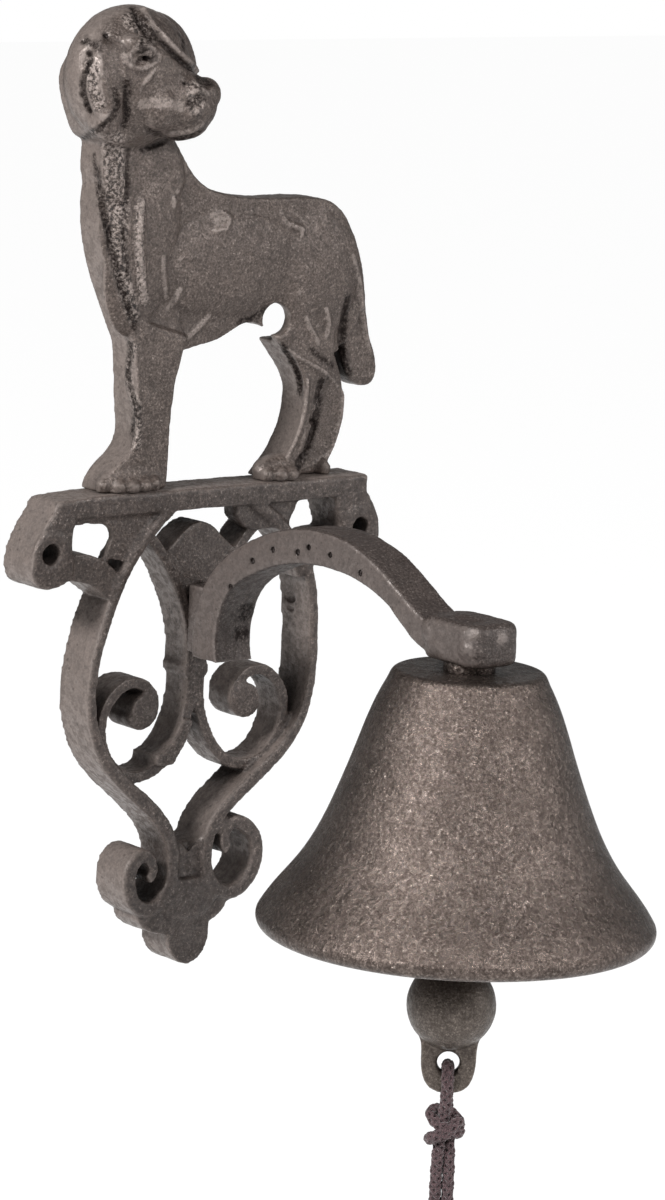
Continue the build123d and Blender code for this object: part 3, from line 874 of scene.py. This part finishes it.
# The raised lines: crown, eyelids, ear, lips, folds of the coat and the legs' edges.
DOG_RIDGES = strokes(
    (2.4, 0.7, 0.2, (-28.9, 12.7, 138.9), (-28.8, 17.1, 134.9), (-26.0, 18.1, 132.0), (-22.7, 19.0, 128.7),
     (-16.2, 15.8, 125.6), (-7.3, 8.8, 122.6)),
    (1.6, 0.3, 0.1, (-38.1, 19.4, 125.6), (-34.9, 20.3, 124.2), (-31.5, 20.8, 125.2),
     (-28.7, 20.4, 127.1)),
    (1.8, 0.3, 0.2, (-36.3, 19.3, 128.6), (-33.3, 19.5, 129.6), (-30.6, 20.2, 129.2),
     (-28.7, 20.3, 127.6)),
    (1.4, 0.3, 0.1, (-34.9, 20.7, 119.2), (-33.1, 21.0, 121.7), (-30.4, 21.0, 124.4)),
    (2.2, 0.6, 0.2, (-45.7, 14.6, 124.8), (-46.3, 14.3, 120.3), (-44.8, 14.7, 115.2), (-43.5, 16.5, 112.4),
     (-40.9, 16.5, 111.6), (-40.1, 17.5, 113.4)),
    (2.2, 0.4, -0.2, (-39.3, 18.2, 129.1), (-38.3, 19.2, 127.1), (-38.7, 19.4, 125.1)),
    (2.4, 0.4, -0.2, (-43.5, 16.5, 126.5), (-43.9, 16.9, 122.0), (-43.1, 17.0, 117.9),
     (-41.7, 17.3, 115.4)),
    (1.7, 0.5, 0.0, (-22.9, 18.3, 107.6), (-20.5, 20.1, 108.0), (-17.8, 21.3, 108.6),
     (-15.9, 22.8, 110.4)),
    (1.4, 0.5, 0.1, (-20.4, 22.6, 118.1), (-18.6, 22.8, 119.1), (-16.5, 22.9, 119.1),
     (-14.7, 23.2, 118.1)),
    (1.5, 0.5, 0.1, (-20.3, 23.3, 113.1), (-18.5, 23.7, 113.9), (-16.3, 23.8, 115.1)),
    (2.0, 0.5, 0.1, (-25.4, 10.6, 90.0), (-24.9, 10.7, 85.3), (-26.0, 11.2, 79.8), (-25.1, 11.2, 74.6),
     (-23.9, 10.9, 69.3), (-22.9, 10.8, 63.6)),
    (1.7, 0.4, 0.1, (-17.3, 10.7, 74.8), (-16.5, 10.1, 69.5), (-14.8, 9.1, 64.1)),
    (2.2, 0.4, 0.0, (-11.1, 10.1, 66.2), (-12.0, 9.3, 63.5), (-13.6, 8.9, 61.4)),
    (1.8, 0.4, 0.0, (-0.4, 9.1, 58.8), (-3.1, 8.9, 56.0), (-6.6, 8.9, 53.5)),
    (1.5, 0.8, 0.1, (-14.6, 10.4, 90.2), (-14.3, 10.2, 87.5)),
    (1.7, 0.7, 0.0, (-1.0, 8.9, 84.9), (2.2, 8.9, 85.9), (4.9, 9.8, 84.3), (3.0, 10.3, 81.3),
     (-0.9, 10.3, 81.2)),
    (1.8, 0.5, 0.1, (22.3, 8.9, 85.3), (24.2, 8.9, 82.6), (27.3, 9.0, 81.2), (29.6, 9.9, 80.7),
     (28.0, 10.0, 78.1)),
    (1.2, 0.4, 0.0, (24.7, 8.9, 85.2), (28.1, 8.9, 84.3), (29.8, 9.1, 83.0)),
    (1.8, 0.4, 0.1, (38.5, 10.3, 58.9), (39.3, 10.3, 55.6), (38.9, 10.3, 51.4)),
    (1.8, 0.4, 0.0, (31.4, 10.3, 57.0), (33.3, 10.3, 53.8), (36.2, 10.3, 50.1)),
    (1.5, 0.5, 0.1, (25.7, 10.3, 48.8), (29.9, 10.3, 46.4), (34.2, 10.3, 44.4), (39.1, 10.3, 42.2),
     (46.7, 6.5, 37.5)),
    (1.6, 0.6, 0.2, (33.0, 10.3, 40.4), (32.7, 10.3, 34.0), (31.7, 10.3, 29.2), (29.9, 10.3, 24.5),
     (27.1, 10.3, 20.1)),
    (1.3, 0.5, 0.1, (33.2, 10.3, 27.0), (31.4, 10.3, 22.0)),
    (1.6, 0.6, 0.1, (48.5, 6.5, 35.8), (48.2, 6.6, 29.4), (46.4, 6.8, 22.4), (42.8, 6.5, 16.6)),
    (1.9, 0.5, 0.1, (47.1, 10.0, 72.9), (50.5, 8.9, 66.2), (53.4, 6.9, 57.8), (55.3, 6.9, 50.7),
     (57.0, 6.9, 46.3)),
    (1.2, 0.7, 0.1, (-25.1, 10.5, 52.3), (-24.4, 10.5, 45.5), (-23.7, 10.5, 39.2), (-23.4, 10.2, 31.8),
     (-23.7, 10.5, 25.1)),
)
# The cut lines and hollows: ear, eye, nostrils, mouth, chest, legs and tail.
DOG_GROOVES = lumps(
    (0.7, 1.0, 0.9), (-46.0, 14.0, 125.5), (-46.6, 13.8, 123.2), (-47.0, 13.0, 120.2),
    (-46.7, 12.9, 117.6), (-45.6, 13.3, 114.9), (-44.7, 13.5, 113.4), (-41.9, 14.8, 132.3),
    (-44.1, 14.9, 128.8), (-45.5, 10.5, 130.7), (-45.7, 13.5, 127.7), (-33.6, 20.1, 127.4),
    (-21.3, 21.1, 120.8),
) + strokes(
    (1.5, 0.6, 0.0, (-45.6, 14.3, 126.3), (-46.9, 13.4, 122.2), (-46.8, 13.0, 118.1),
     (-44.7, 13.5, 113.4)),
    (1.9, 0.5, 0.0, (-41.2, 18.1, 119.0), (-39.9, 18.3, 115.5), (-39.9, 17.3, 112.9), (-41.5, 16.5, 110.3),
     (-41.6, 12.7, 107.9), (-38.6, 2.8, 105.3)),
    (2.6, 0.4, 0.0, (-38.7, 19.8, 120.7), (-38.0, 19.4, 116.6), (-37.1, 18.5, 113.0),
     (-37.0, 17.3, 110.3)),
    (2.6, 0.4, 0.0, (-31.6, 12.1, 139.1), (-32.3, 15.8, 136.1), (-31.5, 18.2, 133.3),
     (-29.3, 18.7, 132.0)),
    (1.7, 0.5, 0.0, (-29.3, 18.7, 132.0), (-26.6, 19.0, 130.3), (-23.9, 19.4, 127.8), (-18.2, 18.1, 124.5),
     (-14.8, 18.1, 122.7)),
    (1.4, 0.3, 0.0, (-35.9, 19.9, 125.7), (-34.2, 20.0, 127.2), (-32.0, 20.5, 126.7),
     (-30.2, 20.6, 127.2)),
    (0.9, 0.4, 0.0, (-36.5, 19.9, 124.7), (-33.8, 20.6, 123.4)),
    (1.6, 0.5, 0.0, (-21.6, 16.2, 106.3), (-19.5, 18.1, 106.5), (-17.2, 19.7, 107.1),
     (-14.6, 21.2, 109.0)),
    (1.2, 0.5, 0.0, (-17.2, 22.5, 119.6), (-16.7, 23.7, 117.2)),
    (1.1, 0.5, 0.0, (-20.4, 22.8, 116.9), (-20.1, 23.6, 115.2)),
    (1.4, 0.4, 0.0, (-15.2, 14.4, 128.5), (-17.0, 14.9, 130.6), (-19.1, 14.9, 132.7)),
    (1.5, 0.6, 0.0, (-37.7, 6.3, 101.1), (-37.0, 7.0, 94.5), (-36.9, 8.9, 88.6), (-34.3, 8.9, 81.3),
     (-33.7, 9.7, 76.3), (-31.1, 10.3, 67.5), (-27.9, 10.3, 61.7), (-25.2, 10.5, 55.9)),
    (1.5, 0.4, 0.0, (-30.1, 10.4, 102.9), (-30.2, 10.4, 98.8), (-29.9, 10.4, 92.6), (-30.6, 10.2, 83.4),
     (-30.3, 10.7, 77.3), (-28.9, 10.9, 70.8)),
    (0.9, 0.4, 0.0, (-27.9, 10.5, 90.0), (-27.7, 10.7, 82.3), (-27.4, 11.3, 74.2), (-25.2, 10.7, 65.2)),
    (0.8, 0.4, 0.0, (-22.0, 11.0, 87.9), (-22.3, 11.1, 77.1), (-19.8, 10.4, 66.5)),
    (1.0, 0.4, 0.0, (-10.2, 9.2, 61.8), (-9.4, 8.9, 56.5), (-6.8, 8.9, 52.2)),
    (2.2, 0.4, 0.0, (24.1, 9.7, 49.8), (26.5, 10.3, 46.9), (31.0, 9.4, 40.9), (32.2, 8.7, 36.5)),
    (1.5, 0.4, 0.0, (33.6, 10.3, 48.4), (36.8, 10.3, 46.1), (44.3, 6.5, 43.1)),
    (3.6, 0.6, 0.3, (37.6, 10.3, 39.6), (36.8, 10.3, 34.8), (35.8, 10.3, 29.5), (36.9, 6.5, 22.4),
     (30.1, 11.1, 17.6)),
    (2.6, 0.6, 0.2, (45.6, 10.2, 62.3), (44.6, 9.7, 56.9), (44.9, 8.9, 50.4), (47.7, 6.4, 45.0)),
    (1.6, 0.5, 0.0, (-25.6, 10.4, 102.8), (-21.2, 10.4, 104.0), (-16.7, 10.4, 105.2)),
    (1.2, 0.7, 0.0, (-25.8, 9.3, 53.7), (-24.8, 8.0, 47.2), (-24.5, 7.0, 43.2), (-24.3, 9.1, 39.5),
     (-23.2, 10.5, 35.0), (-23.6, 8.4, 30.0)),
)
# Dark marks besides the grooves: dirt, and painted shade along seams and in the gaps between legs, body and
# tail.
DOG_GRIME_AND_SHADE = (
    Lump((-32.5, 16.0, 135.9), (3.2, 2.0, 3.6)),
    Lump((-30.9, 18.6, 132.6), (3.4, 2.0, 2.2)),
    Lump((-33.7, 19.6, 129.1), (2.2, 2.0, 1.4)),
    Lump((-14.8, 20.6, 121.4), (3.6, 2.0, 1.8)),
    Lump((-18.3, 23.4, 116.6), (1.4, 1.6, 1.4)),
    Lump((-20.7, 23.3, 115.7), (1.2, 1.4, 1.2)),
) + strokes(
    (2.2, 0.8, 0.0, (-45.2, 10.9, 131.0), (-44.2, 14.3, 129.3), (-42.0, 15.0, 131.8)),
    (2.4, 0.8, 0.0, (-37.7, 8.2, 97.7), (-36.9, 8.9, 88.6), (-34.0, 9.1, 79.8), (-30.1, 10.3, 66.9),
     (-25.6, 10.5, 57.5)),
    (2.0, 0.8, 0.0, (-25.6, 9.1, 52.6), (-24.5, 7.0, 43.2), (-23.9, 10.5, 36.0), (-23.6, 8.5, 29.5)),
    (1.8, 0.6, 0.0, (10.2, 8.9, 56.7), (15.5, 8.9, 58.1), (19.4, 8.9, 60.3)),
    (3.4, 0.8, 0.0, (37.6, 10.3, 39.1), (36.6, 10.3, 33.2), (37.5, 6.5, 23.5), (30.7, 10.7, 18.0)),
    (3.2, 0.8, 0.0, (45.2, 10.0, 59.6), (45.1, 8.9, 53.0), (47.5, 6.5, 46.1), (49.6, 6.9, 41.2)),
    (1.8, 0.8, 0.0, (-17.0, 14.9, 130.6), (-18.9, 17.1, 128.3)),
    (2.2, 0.6, 0.0, (-28.1, 17.4, 108.6), (-16.7, 10.4, 104.6), (-15.1, 19.1, 106.5)),
)
# Where the coating is painted bright: rubbed ridges, and painted highlights on the cheek, the ear's lower
# edge and the body.
DOG_WORN_AND_HIGHLIGHT = strokes(
    (3.6, 0.6, 0.0, (-33.7, 20.2, 115.6), (-28.3, 20.6, 115.8), (-23.2, 22.4, 114.9)),
) + (
    Lump((-32.8, 20.2, 128.2), (1.2, 1.0, 1.0)),
    Lump((-19.7, 22.9, 118.4), (1.2, 1.0, 1.0)),
    Lump((-16.3, 23.1, 118.9), (1.4, 1.0, 1.4)),
    Lump((-18.5, 23.7, 113.9), (1.8, 1.0, 1.4)),
    Lump((-41.9, 16.5, 111.8), (2.6, 1.0, 2.0)),
    Lump((-38.3, 19.2, 127.1), (2.4, 1.0, 1.8)),
    Lump((-14.4, 10.3, 88.6), (1.0, 1.0, 1.4)),
    Lump((1.6, 10.0, 83.4), (3.4, 1.0, 2.8)),
) + DOG_RIDGES[:4] + DOG_RIDGES[7:]
# Where the coat is cast as coarse hair.
DOG_FUR = strokes(
    (6.5, 0.7, 0.0, (-40.0, 16.5, 106.2), (-34.1, 10.4, 98.9), (-32.9, 10.3, 90.1), (-32.2, 9.9, 82.4)),
    (3.4, 0.7, 0.0, (-32.2, 9.9, 82.4), (-31.3, 10.6, 74.2), (-28.6, 10.4, 66.4), (-26.3, 10.3, 60.1)),
    (2.4, 0.6, 0.0, (-25.4, 10.7, 89.0), (-25.3, 11.2, 79.7), (-24.5, 11.1, 72.0), (-23.0, 10.9, 64.1)),
    (2.6, 0.8, 0.0, (-25.5, 9.5, 52.1), (-24.5, 7.4, 43.0), (-23.8, 10.5, 35.5), (-23.7, 10.5, 26.6)),
    (3.0, 0.7, 0.0, (-45.7, 14.4, 125.3), (-45.7, 15.7, 119.9), (-44.6, 16.5, 115.4)),
    (5.0, 0.7, 0.0, (-34.1, 15.2, 136.3), (-32.0, 18.4, 132.5), (-31.9, 20.3, 128.2)),
    (4.5, 0.8, 0.0, (-18.3, 22.4, 119.6), (-18.6, 23.8, 114.7)),
)


@dataclass
class Dog(Casting):
    """The dog on the shelf, with its head turned to the front.

    Attributes:
        shelf_top: height of the shelf that it stands on, in millimetres.
        root: how deep its legs are set into the shelf, in millimetres.
    """

    shelf_top: float = 14.25
    root: float = 2.4

    def legs_into_shelf(self, piece: Piece) -> None:
        """Lengthen the legs down into the shelf."""
        pick(piece)
        mesh = piece.data
        for item in (*mesh.edges, *mesh.vertices):
            item.select = False
        for face in mesh.polygons:
            face.select = face.normal.z < -0.9 and face.center.z < (self.shelf_top + 0.1) * MM
            for index in face.vertices if face.select else ():
                mesh.vertices[index].select = True
        bpy.ops.object.mode_set(mode="EDIT")
        bpy.ops.mesh.select_mode(type="FACE")
        bpy.ops.mesh.extrude_region_move(TRANSFORM_OT_translate={"value": (0, 0, -self.root * MM)})
        close_mesh()

    def build(self, material: Material) -> None:
        """Model the dog and dress it."""
        piece = copy_of_node(self.node, self.name)
        self.cut_level(piece, self.shelf_top, True)
        self.legs_into_shelf(piece)
        self.press(piece, DOG_MASSES, 0.5)
        apply_modifier(piece, "SMOOTH", factor=0.5, iterations=3)
        self.press(piece, DOG_RIDGES, 0.42)
        self.carve(piece, DOG_GROOVES)
        self.fuse(piece, self.grain)
        self.roughen(piece)
        # The grooves and dark marks are painted dark: dirt, and painted shade in the grooves and gaps.
        self.tint(piece, "grime_and_shade", DOG_GROOVES + DOG_GRIME_AND_SHADE, 0.9)
        # The ridges and bright places are painted pale: rubbed coating, and painted highlights.
        self.tint(piece, "worn_and_highlight", DOG_WORN_AND_HIGHLIGHT, 0.3)
        self.tint(piece, "fur", DOG_FUR, 1.2)
        self.finish(piece, material)


# The webs between the shelf and the straps, the foot of the left scroll and the V over the finial.
SCROLL_WEBS = (
    Web(10.0, 11.8, ((-46.6, 12.4), (-46.3, 5.6), (-43.2, 6.7), (-38.7, 6.9), (-33.5, 6.3), (-31.9, 4.9),
                     (-31.4, 2.8), (-32.6, 0.2), (-33.1, -2.4), (-27.2, -3.9), (-21.5, 0.2), (-16.0, 6.4),
                     (-13.5, 10.2))),
    Web(6.0, 11.6, ((9.1, 9.5), (30.8, 9.3), (30.3, 6.4), (28.4, 3.3), (27.9, 1.4), (18.3, 1.3), (12.8, 2.5),
                    (10.0, 5.1))),
    Web(0.6, 11.4, ((-13.3, -59.6), (-13.1, -56.9), (-10.2, -55.9), (-7.0, -52.4), (-4.6, -48.0),
                    (-1.2, -48.3), (-3.6, -54.3), (-7.3, -59.9))),
    Web(5.0, 11.5, ((-6.2, -79.1), (-1.2, -84.0), (3.0, -80.1), (5.0, -92.9), (-6.2, -91.6))),
)
# The two nicks in the right strap.
STRAP_NICKS = (
    Lump((34.9, 3.0, -19.6), (1.3, 4.0, 1.6), (0, 0, 20)),
    Lump((34.7, 2.4, -22.6), (1.1, 3.6, 1.2), (0, 0, 20)),
)


@dataclass
class Scrollwork(Casting):
    """The shelf, the ears with their screw holes, the scrolls and the finial.

    Attributes:
        shelf_top: height of the shelf, in millimetres.
    """

    shelf_top: float = 14.15

    def build(self, material: Material) -> None:
        """Model the scrollwork and dress it."""
        piece = copy_of_node(self.node, self.name)
        self.cut_level(piece, self.shelf_top, False)
        self.press(piece, SCROLL_WEBS, self.grain)
        self.carve(piece, STRAP_NICKS)
        self.roughen(piece)
        self.finish(piece, material)


# The small gas holes in the arm's left side.
ARM_PITS = lumps(
    (0.7, 0.9, 0.9), (-6.3, 39.0, -0.6), (-6.3, 57.0, 4.6), (-6.3, 61.4, 6.6), (-6.3, 82.0, 3.4),
    (-6.3, 47.0, 3.6), (-6.3, 70.0, 6.0), (-6.3, 30.4, -9.0),
)
# The unevenness of the boss.
BOSS_LUMPS = (
    Lump((-4.6, 110.6, -6.4), (4.0, 4.2, 4.4)),
    Lump((5.0, 122.0, -4.6), (3.2, 5.6, 2.6)),
    Lump((-3.6, 124.6, -8.4), (5.2, 4.6, 4.4)),
    Lump((4.6, 112.0, -8.0), (3.6, 5.0, 4.6)),
    Lump((-6.0, 116.0, -9.6), (2.4, 6.0, 3.6), (0, 0, 10)),
    Lump((-1.0, 118.0, -3.4), (4.0, 5.6, 2.2), (0, 12, 0)),
    Lump((0.6, 126.6, -6.0), (4.4, 2.8, 3.0)),
    Lump((-6.0, 124.0, -5.6), (2.4, 3.4, 2.6)),
)
# Dark blotches at the arm's root: dirt, and painted shade where the arm meets the column.
ARM_GRIME_AND_SHADE = lumps((3.6, 1.0, 3.6), (2.4, 26.4, -17.0), (2.4, 25.0, -23.0))
# Bright places on the boss: rubbed coating and painted highlight.
ARM_WORN_AND_HIGHLIGHT = (Lump((2.0, 127.4, -6.0), (2.4, 1.0, 2.2)), Lump((-5.0, 124.6, -4.4), (1.6, 1.0, 1.6)))


@dataclass
class Arm(Casting):
    """The arm that carries the bell, with its lumpy boss and pitted sides."""

    def build(self, material: Material) -> None:
        """Model the arm and dress it."""
        piece = copy_of_node(self.node, self.name)
        self.press(piece, BOSS_LUMPS, self.grain)
        self.carve(piece, ARM_PITS)
        self.roughen(piece)
        # The pits and the root are painted dark: dirt, and painted shade in the pits and at the root.
        self.tint(piece, "grime_and_shade", ARM_PITS + ARM_GRIME_AND_SHADE, 0.6)
        # The boss's bright places are painted pale: rubbed coating and painted highlight.
        self.tint(piece, "worn_and_highlight", ARM_WORN_AND_HIGHLIGHT, 0.6)
        self.finish(piece, material)


@dataclass
class Clapper(Casting):
    """The clapper: eye, stem, ball and pierced lug."""

    def build(self, material: Material) -> None:
        """Model the clapper and dress it."""
        piece = copy_of_node(self.node, self.name)
        self.fuse(piece, self.grain)
        self.roughen(piece)
        self.finish(piece, material)


@dataclass
class PullCord:
    """The doubled cord, its knot under the lug and the knot at its ends.

    Attributes:
        diameter: the cord's diameter.
        length: length of each half along its route; not used.
        turn: the clapper's turn about the vertical, in degrees.
        axis_y: the bell's axis, out from the wall.
        fold_half: half of the fold's width across the lug, in millimetres.
        strands: plaits wound each way.
        pitch: length of one turn of a plait.
        step: distance between a braid's sections.
        core_inset: how far the core lies below the cord's surface.
        strand: a plait's radius.
        strand_inset: how far a plait's middle lies below the cord's surface.
        weave: how far a plait rises and sinks where it crosses others.
        sides: sides of a plait's section.
    """

    diameter: float = 3.3 * MM
    length: float = 98.5 * MM
    turn: float = -40.0
    axis_y: float = -118.0 * MM
    fold_half: float = 3.9
    strands: int = 4
    pitch: float = 8.4 * MM
    step: float = 0.32 * MM
    core_inset: float = 0.62 * MM
    strand: float = 0.44 * MM
    strand_inset: float = 0.5 * MM
    weave: float = 0.11 * MM
    sides: int = 6

    def place(self, point: Point) -> Vector:
        """Turn a point, across, out and up in millimetres, into the row frame."""
        return Matrix.Rotation(math.radians(self.turn), 3, "Z") @ mm(point) + Vector((0, self.axis_y, 0))

    def route(self, side: int) -> list[Vector]:
        """The control points of one half, from the fold in the hole to the end knot.

        Args:
            side: 1 for the front half, -1 for the back half.

        Returns:
            The points in the row frame.
        """
        run = [
            (0.0, 0.0, -116.6),
            (0.0, self.fold_half, -116.6),
            (0.0, self.fold_half + 0.2, -123.4),
            (-0.5, 1.9, -129.6),
            (-1.5, 0.25, -139.0),
            (-1.55, 0.0, -154.0),
            (-1.5, 0.15, -176.0),
            (-1.6, 0.0, -196.0),
            (-1.6, 0.1, -212.0),
        ]
        return [self.place((side * across, side * out, up)) for across, out, up in run]

    def line(self, name: str, points: list[Vector]) -> list[Vector]:
        """Read evenly close points from a smooth spline through a route.

        Args:
            name: name for the spline.
            points: the spline's control points.

        Returns:
            Points along the spline.
        """
        data = bpy.data.curves.new(name, "CURVE")
        data.dimensions = "3D"
        data.resolution_u = 24
        spline = data.splines.new("NURBS")
        spline.points.add(len(points) - 1)
        for target, point in zip(spline.points, points):
            target.co = (*point, 1)
        spline.order_u = 3
        spline.use_endpoint_u = True
        holder = add(name, data)
        mesh = bpy.data.meshes.new_from_object(holder)
        found = [vertex.co.copy() for vertex in mesh.vertices]
        bpy.data.objects.remove(holder)
        bpy.data.meshes.remove(mesh)
        return found

    def braid(self, name: str, path: list[Vector]) -> Piece:
        """Plait strands over a core along a path.

        Args:
            name: the piece's name.
            path: points along the cord's middle.

        Returns:
            The braided piece.
        """
        points = np.array([tuple(p) for p in path])
        steps = np.linalg.norm(np.diff(points, axis=0), axis=1)
        along = np.concatenate([[0.0], np.cumsum(steps)])
        keep = np.concatenate([[True], steps > 1e-7])
        points, along = points[keep], along[keep]
        count = max(int(along[-1] / self.step), 12)
        at = np.linspace(0, along[-1], count)
        centre = np.stack([np.interp(at, along, points[:, k]) for k in range(3)], 1)
        tangent = np.gradient(centre, axis=0)
        tangent /= np.linalg.norm(tangent, axis=1)[:, None]
        normal = np.zeros_like(tangent)
        start = np.cross(tangent[0], (0.3, 0.2, 0.9))
        if np.linalg.norm(start) < 0.2:
            start = np.cross(tangent[0], (0.9, 0.3, 0.1))
        normal[0] = start / np.linalg.norm(start)
        for i in range(1, count):
            side = normal[i - 1] - tangent[i] * (normal[i - 1] @ tangent[i])
            normal[i] = side / np.linalg.norm(side)
        binormal = np.cross(tangent, normal)
        curves = [(centre, self.diameter / 2 - self.core_inset)]
        phase = 2 * math.pi * at / self.pitch
        for way in (1, -1):
            for k in range(self.strands):
                angle = way * phase + 2 * math.pi * (k + (way < 0) * 0.5) / self.strands
                rise = np.cos(self.strands * phase + math.pi * k) * way
                out = self.diameter / 2 - self.strand_inset + rise * self.weave
                ring = normal * np.cos(angle)[:, None] + binormal * np.sin(angle)[:, None]
                curves.append((centre + ring * out[:, None], self.strand))
        return self.tubes(name, curves, normal)

    def tubes(self, name: str, curves: list[tuple[np.ndarray, float]], normal: np.ndarray) -> Piece:
        """Skin curves with closed tubes.

        Args:
            name: the piece's name.
            curves: each curve's points and its tube's radius.
            normal: a direction across the curves at each point.

        Returns:
            The tubes as one piece.
        """
        vertices: list[np.ndarray] = []
        faces: list[tuple[int, ...]] = []
        count, sides = len(normal), self.sides
        for number, (middle, radius) in enumerate(curves):
            base = number * count * sides
            direction = np.gradient(middle, axis=0)
            direction /= np.linalg.norm(direction, axis=1)[:, None]
            first = normal - direction * np.sum(normal * direction, axis=1)[:, None]
            first /= np.linalg.norm(first, axis=1)[:, None]
            second = np.cross(direction, first)
            angles = [2 * math.pi * side / sides for side in range(sides)]
            rings = [middle + radius * (math.cos(a) * first + math.sin(a) * second) for a in angles]
            vertices.append(np.stack(rings, 1).reshape(-1, 3))
            for i in range(count - 1):
                for s in range(sides):
                    a, b = base + i * sides + s, base + i * sides + (s + 1) % sides
                    faces.append((a, b, b + sides, a + sides))
            faces.append(tuple(base + s for s in reversed(range(sides))))
            faces.append(tuple(base + (count - 1) * sides + s for s in range(sides)))
        mesh = bpy.data.meshes.new(name)
        mesh.from_pydata([tuple(v) for v in np.concatenate(vertices)], [], faces)
        mesh.shade_smooth()
        return add(name, mesh)

    def knot(self, name: str, middle: float, width: float, height: float) -> Piece:
        """Wind turns of cord round the two halves.

        Args:
            name: the knot's name.
            middle: height of its middle, in millimetres.
            width: its width, in millimetres.
            height: its height, in millimetres.

        Returns:
            The knot.
        """
        reach = width / 2 - self.diameter / MM / 2
        turns = []
        for index, (rise, tilt_out, tilt_across) in enumerate(((0.2, 18, 20), (-0.2, -20, -16))):
            path = []
            for step in range(73):
                angle = math.radians(step * 5.0 + 90 * index)
                ring = Vector((reach * math.cos(angle), reach * math.sin(angle), 0))
                ring.rotate(Matrix.Rotation(math.radians(tilt_across), 3, "Y"))
                ring.rotate(Matrix.Rotation(math.radians(tilt_out), 3, "X"))
                path.append(self.place((ring.x, -ring.y, middle + rise * height + ring.z)))
            turns.append(self.braid(f"{name}_turn", path))
        across, reach = [], reach + 0.1
        for step in range(25):
            share = step / 24
            angle = math.radians(-150 + 120 * share)
            up = middle + (share - 0.5) * 0.52 * height
            across.append(self.place((reach * math.cos(angle), -reach * math.sin(angle), up)))
        turns.append(self.braid(f"{name}_turn", across))
        knot = join(turns)
        knot.name = name
        return knot

    def build(self, yarn: Material) -> None:
        """Braid both halves and tie both knots."""
        for name, node, middle, width, height in (
            ("upper_knot", "cord_knot", -132.45, 10.8, 10.5),
            ("end_knot", "cord_end_knot", -212.0, 9.6, 9.0),
        ):
            dress(self.knot(name, middle, width, height), yarn, Body.CLAPPER, Slot.CORD, node)
        for side, name in ((1, "cord_front"), (-1, "cord_back")):
            path = self.line(f"{name}_route", self.route(side))
            piece = dress(self.braid(name, path), yarn, Body.CLAPPER, Slot.CORD, "pull_cord")
            log.info("%s runs %.4f m", name, sum((b - a).length for a, b in zip(path, path[1:])))
        deselect()


def main() -> None:
    """Build the pieces in order."""
    logging.basicConfig(level=logging.INFO, format="%(message)s")
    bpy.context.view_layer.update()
    Studio().build()
    Scrollwork("bracket", "scrollwork_casting", Body.FIXED, Slot.BRACKET, 0.62).build(BRACKET_IRON.material())
    Dog("bracket", "dog_casting", Body.FIXED, Slot.BRACKET, 0.5).build(DOG_IRON.material())
    Arm("arm", "arm_casting", Body.FIXED, Slot.ARM, 0.6).build(ARM_IRON.material())
    clapper = Clapper("clapper", "clapper_casting", Body.CLAPPER, Slot.CLAPPER, 0.45, 0.12, 0.1)
    clapper.build(CLAPPER_IRON.material())
    dress_nodes(BELL_IRON.material(), "bell")
    hardware = ("arm_screw", "hanger_eye_bolt", "hanger_washer", "hanger_nut", "clapper_link")
    dress_nodes(HARDWARE.material(), *hardware)
    PullCord().build(YARN.material())


if __name__ == "__main__":
    main()
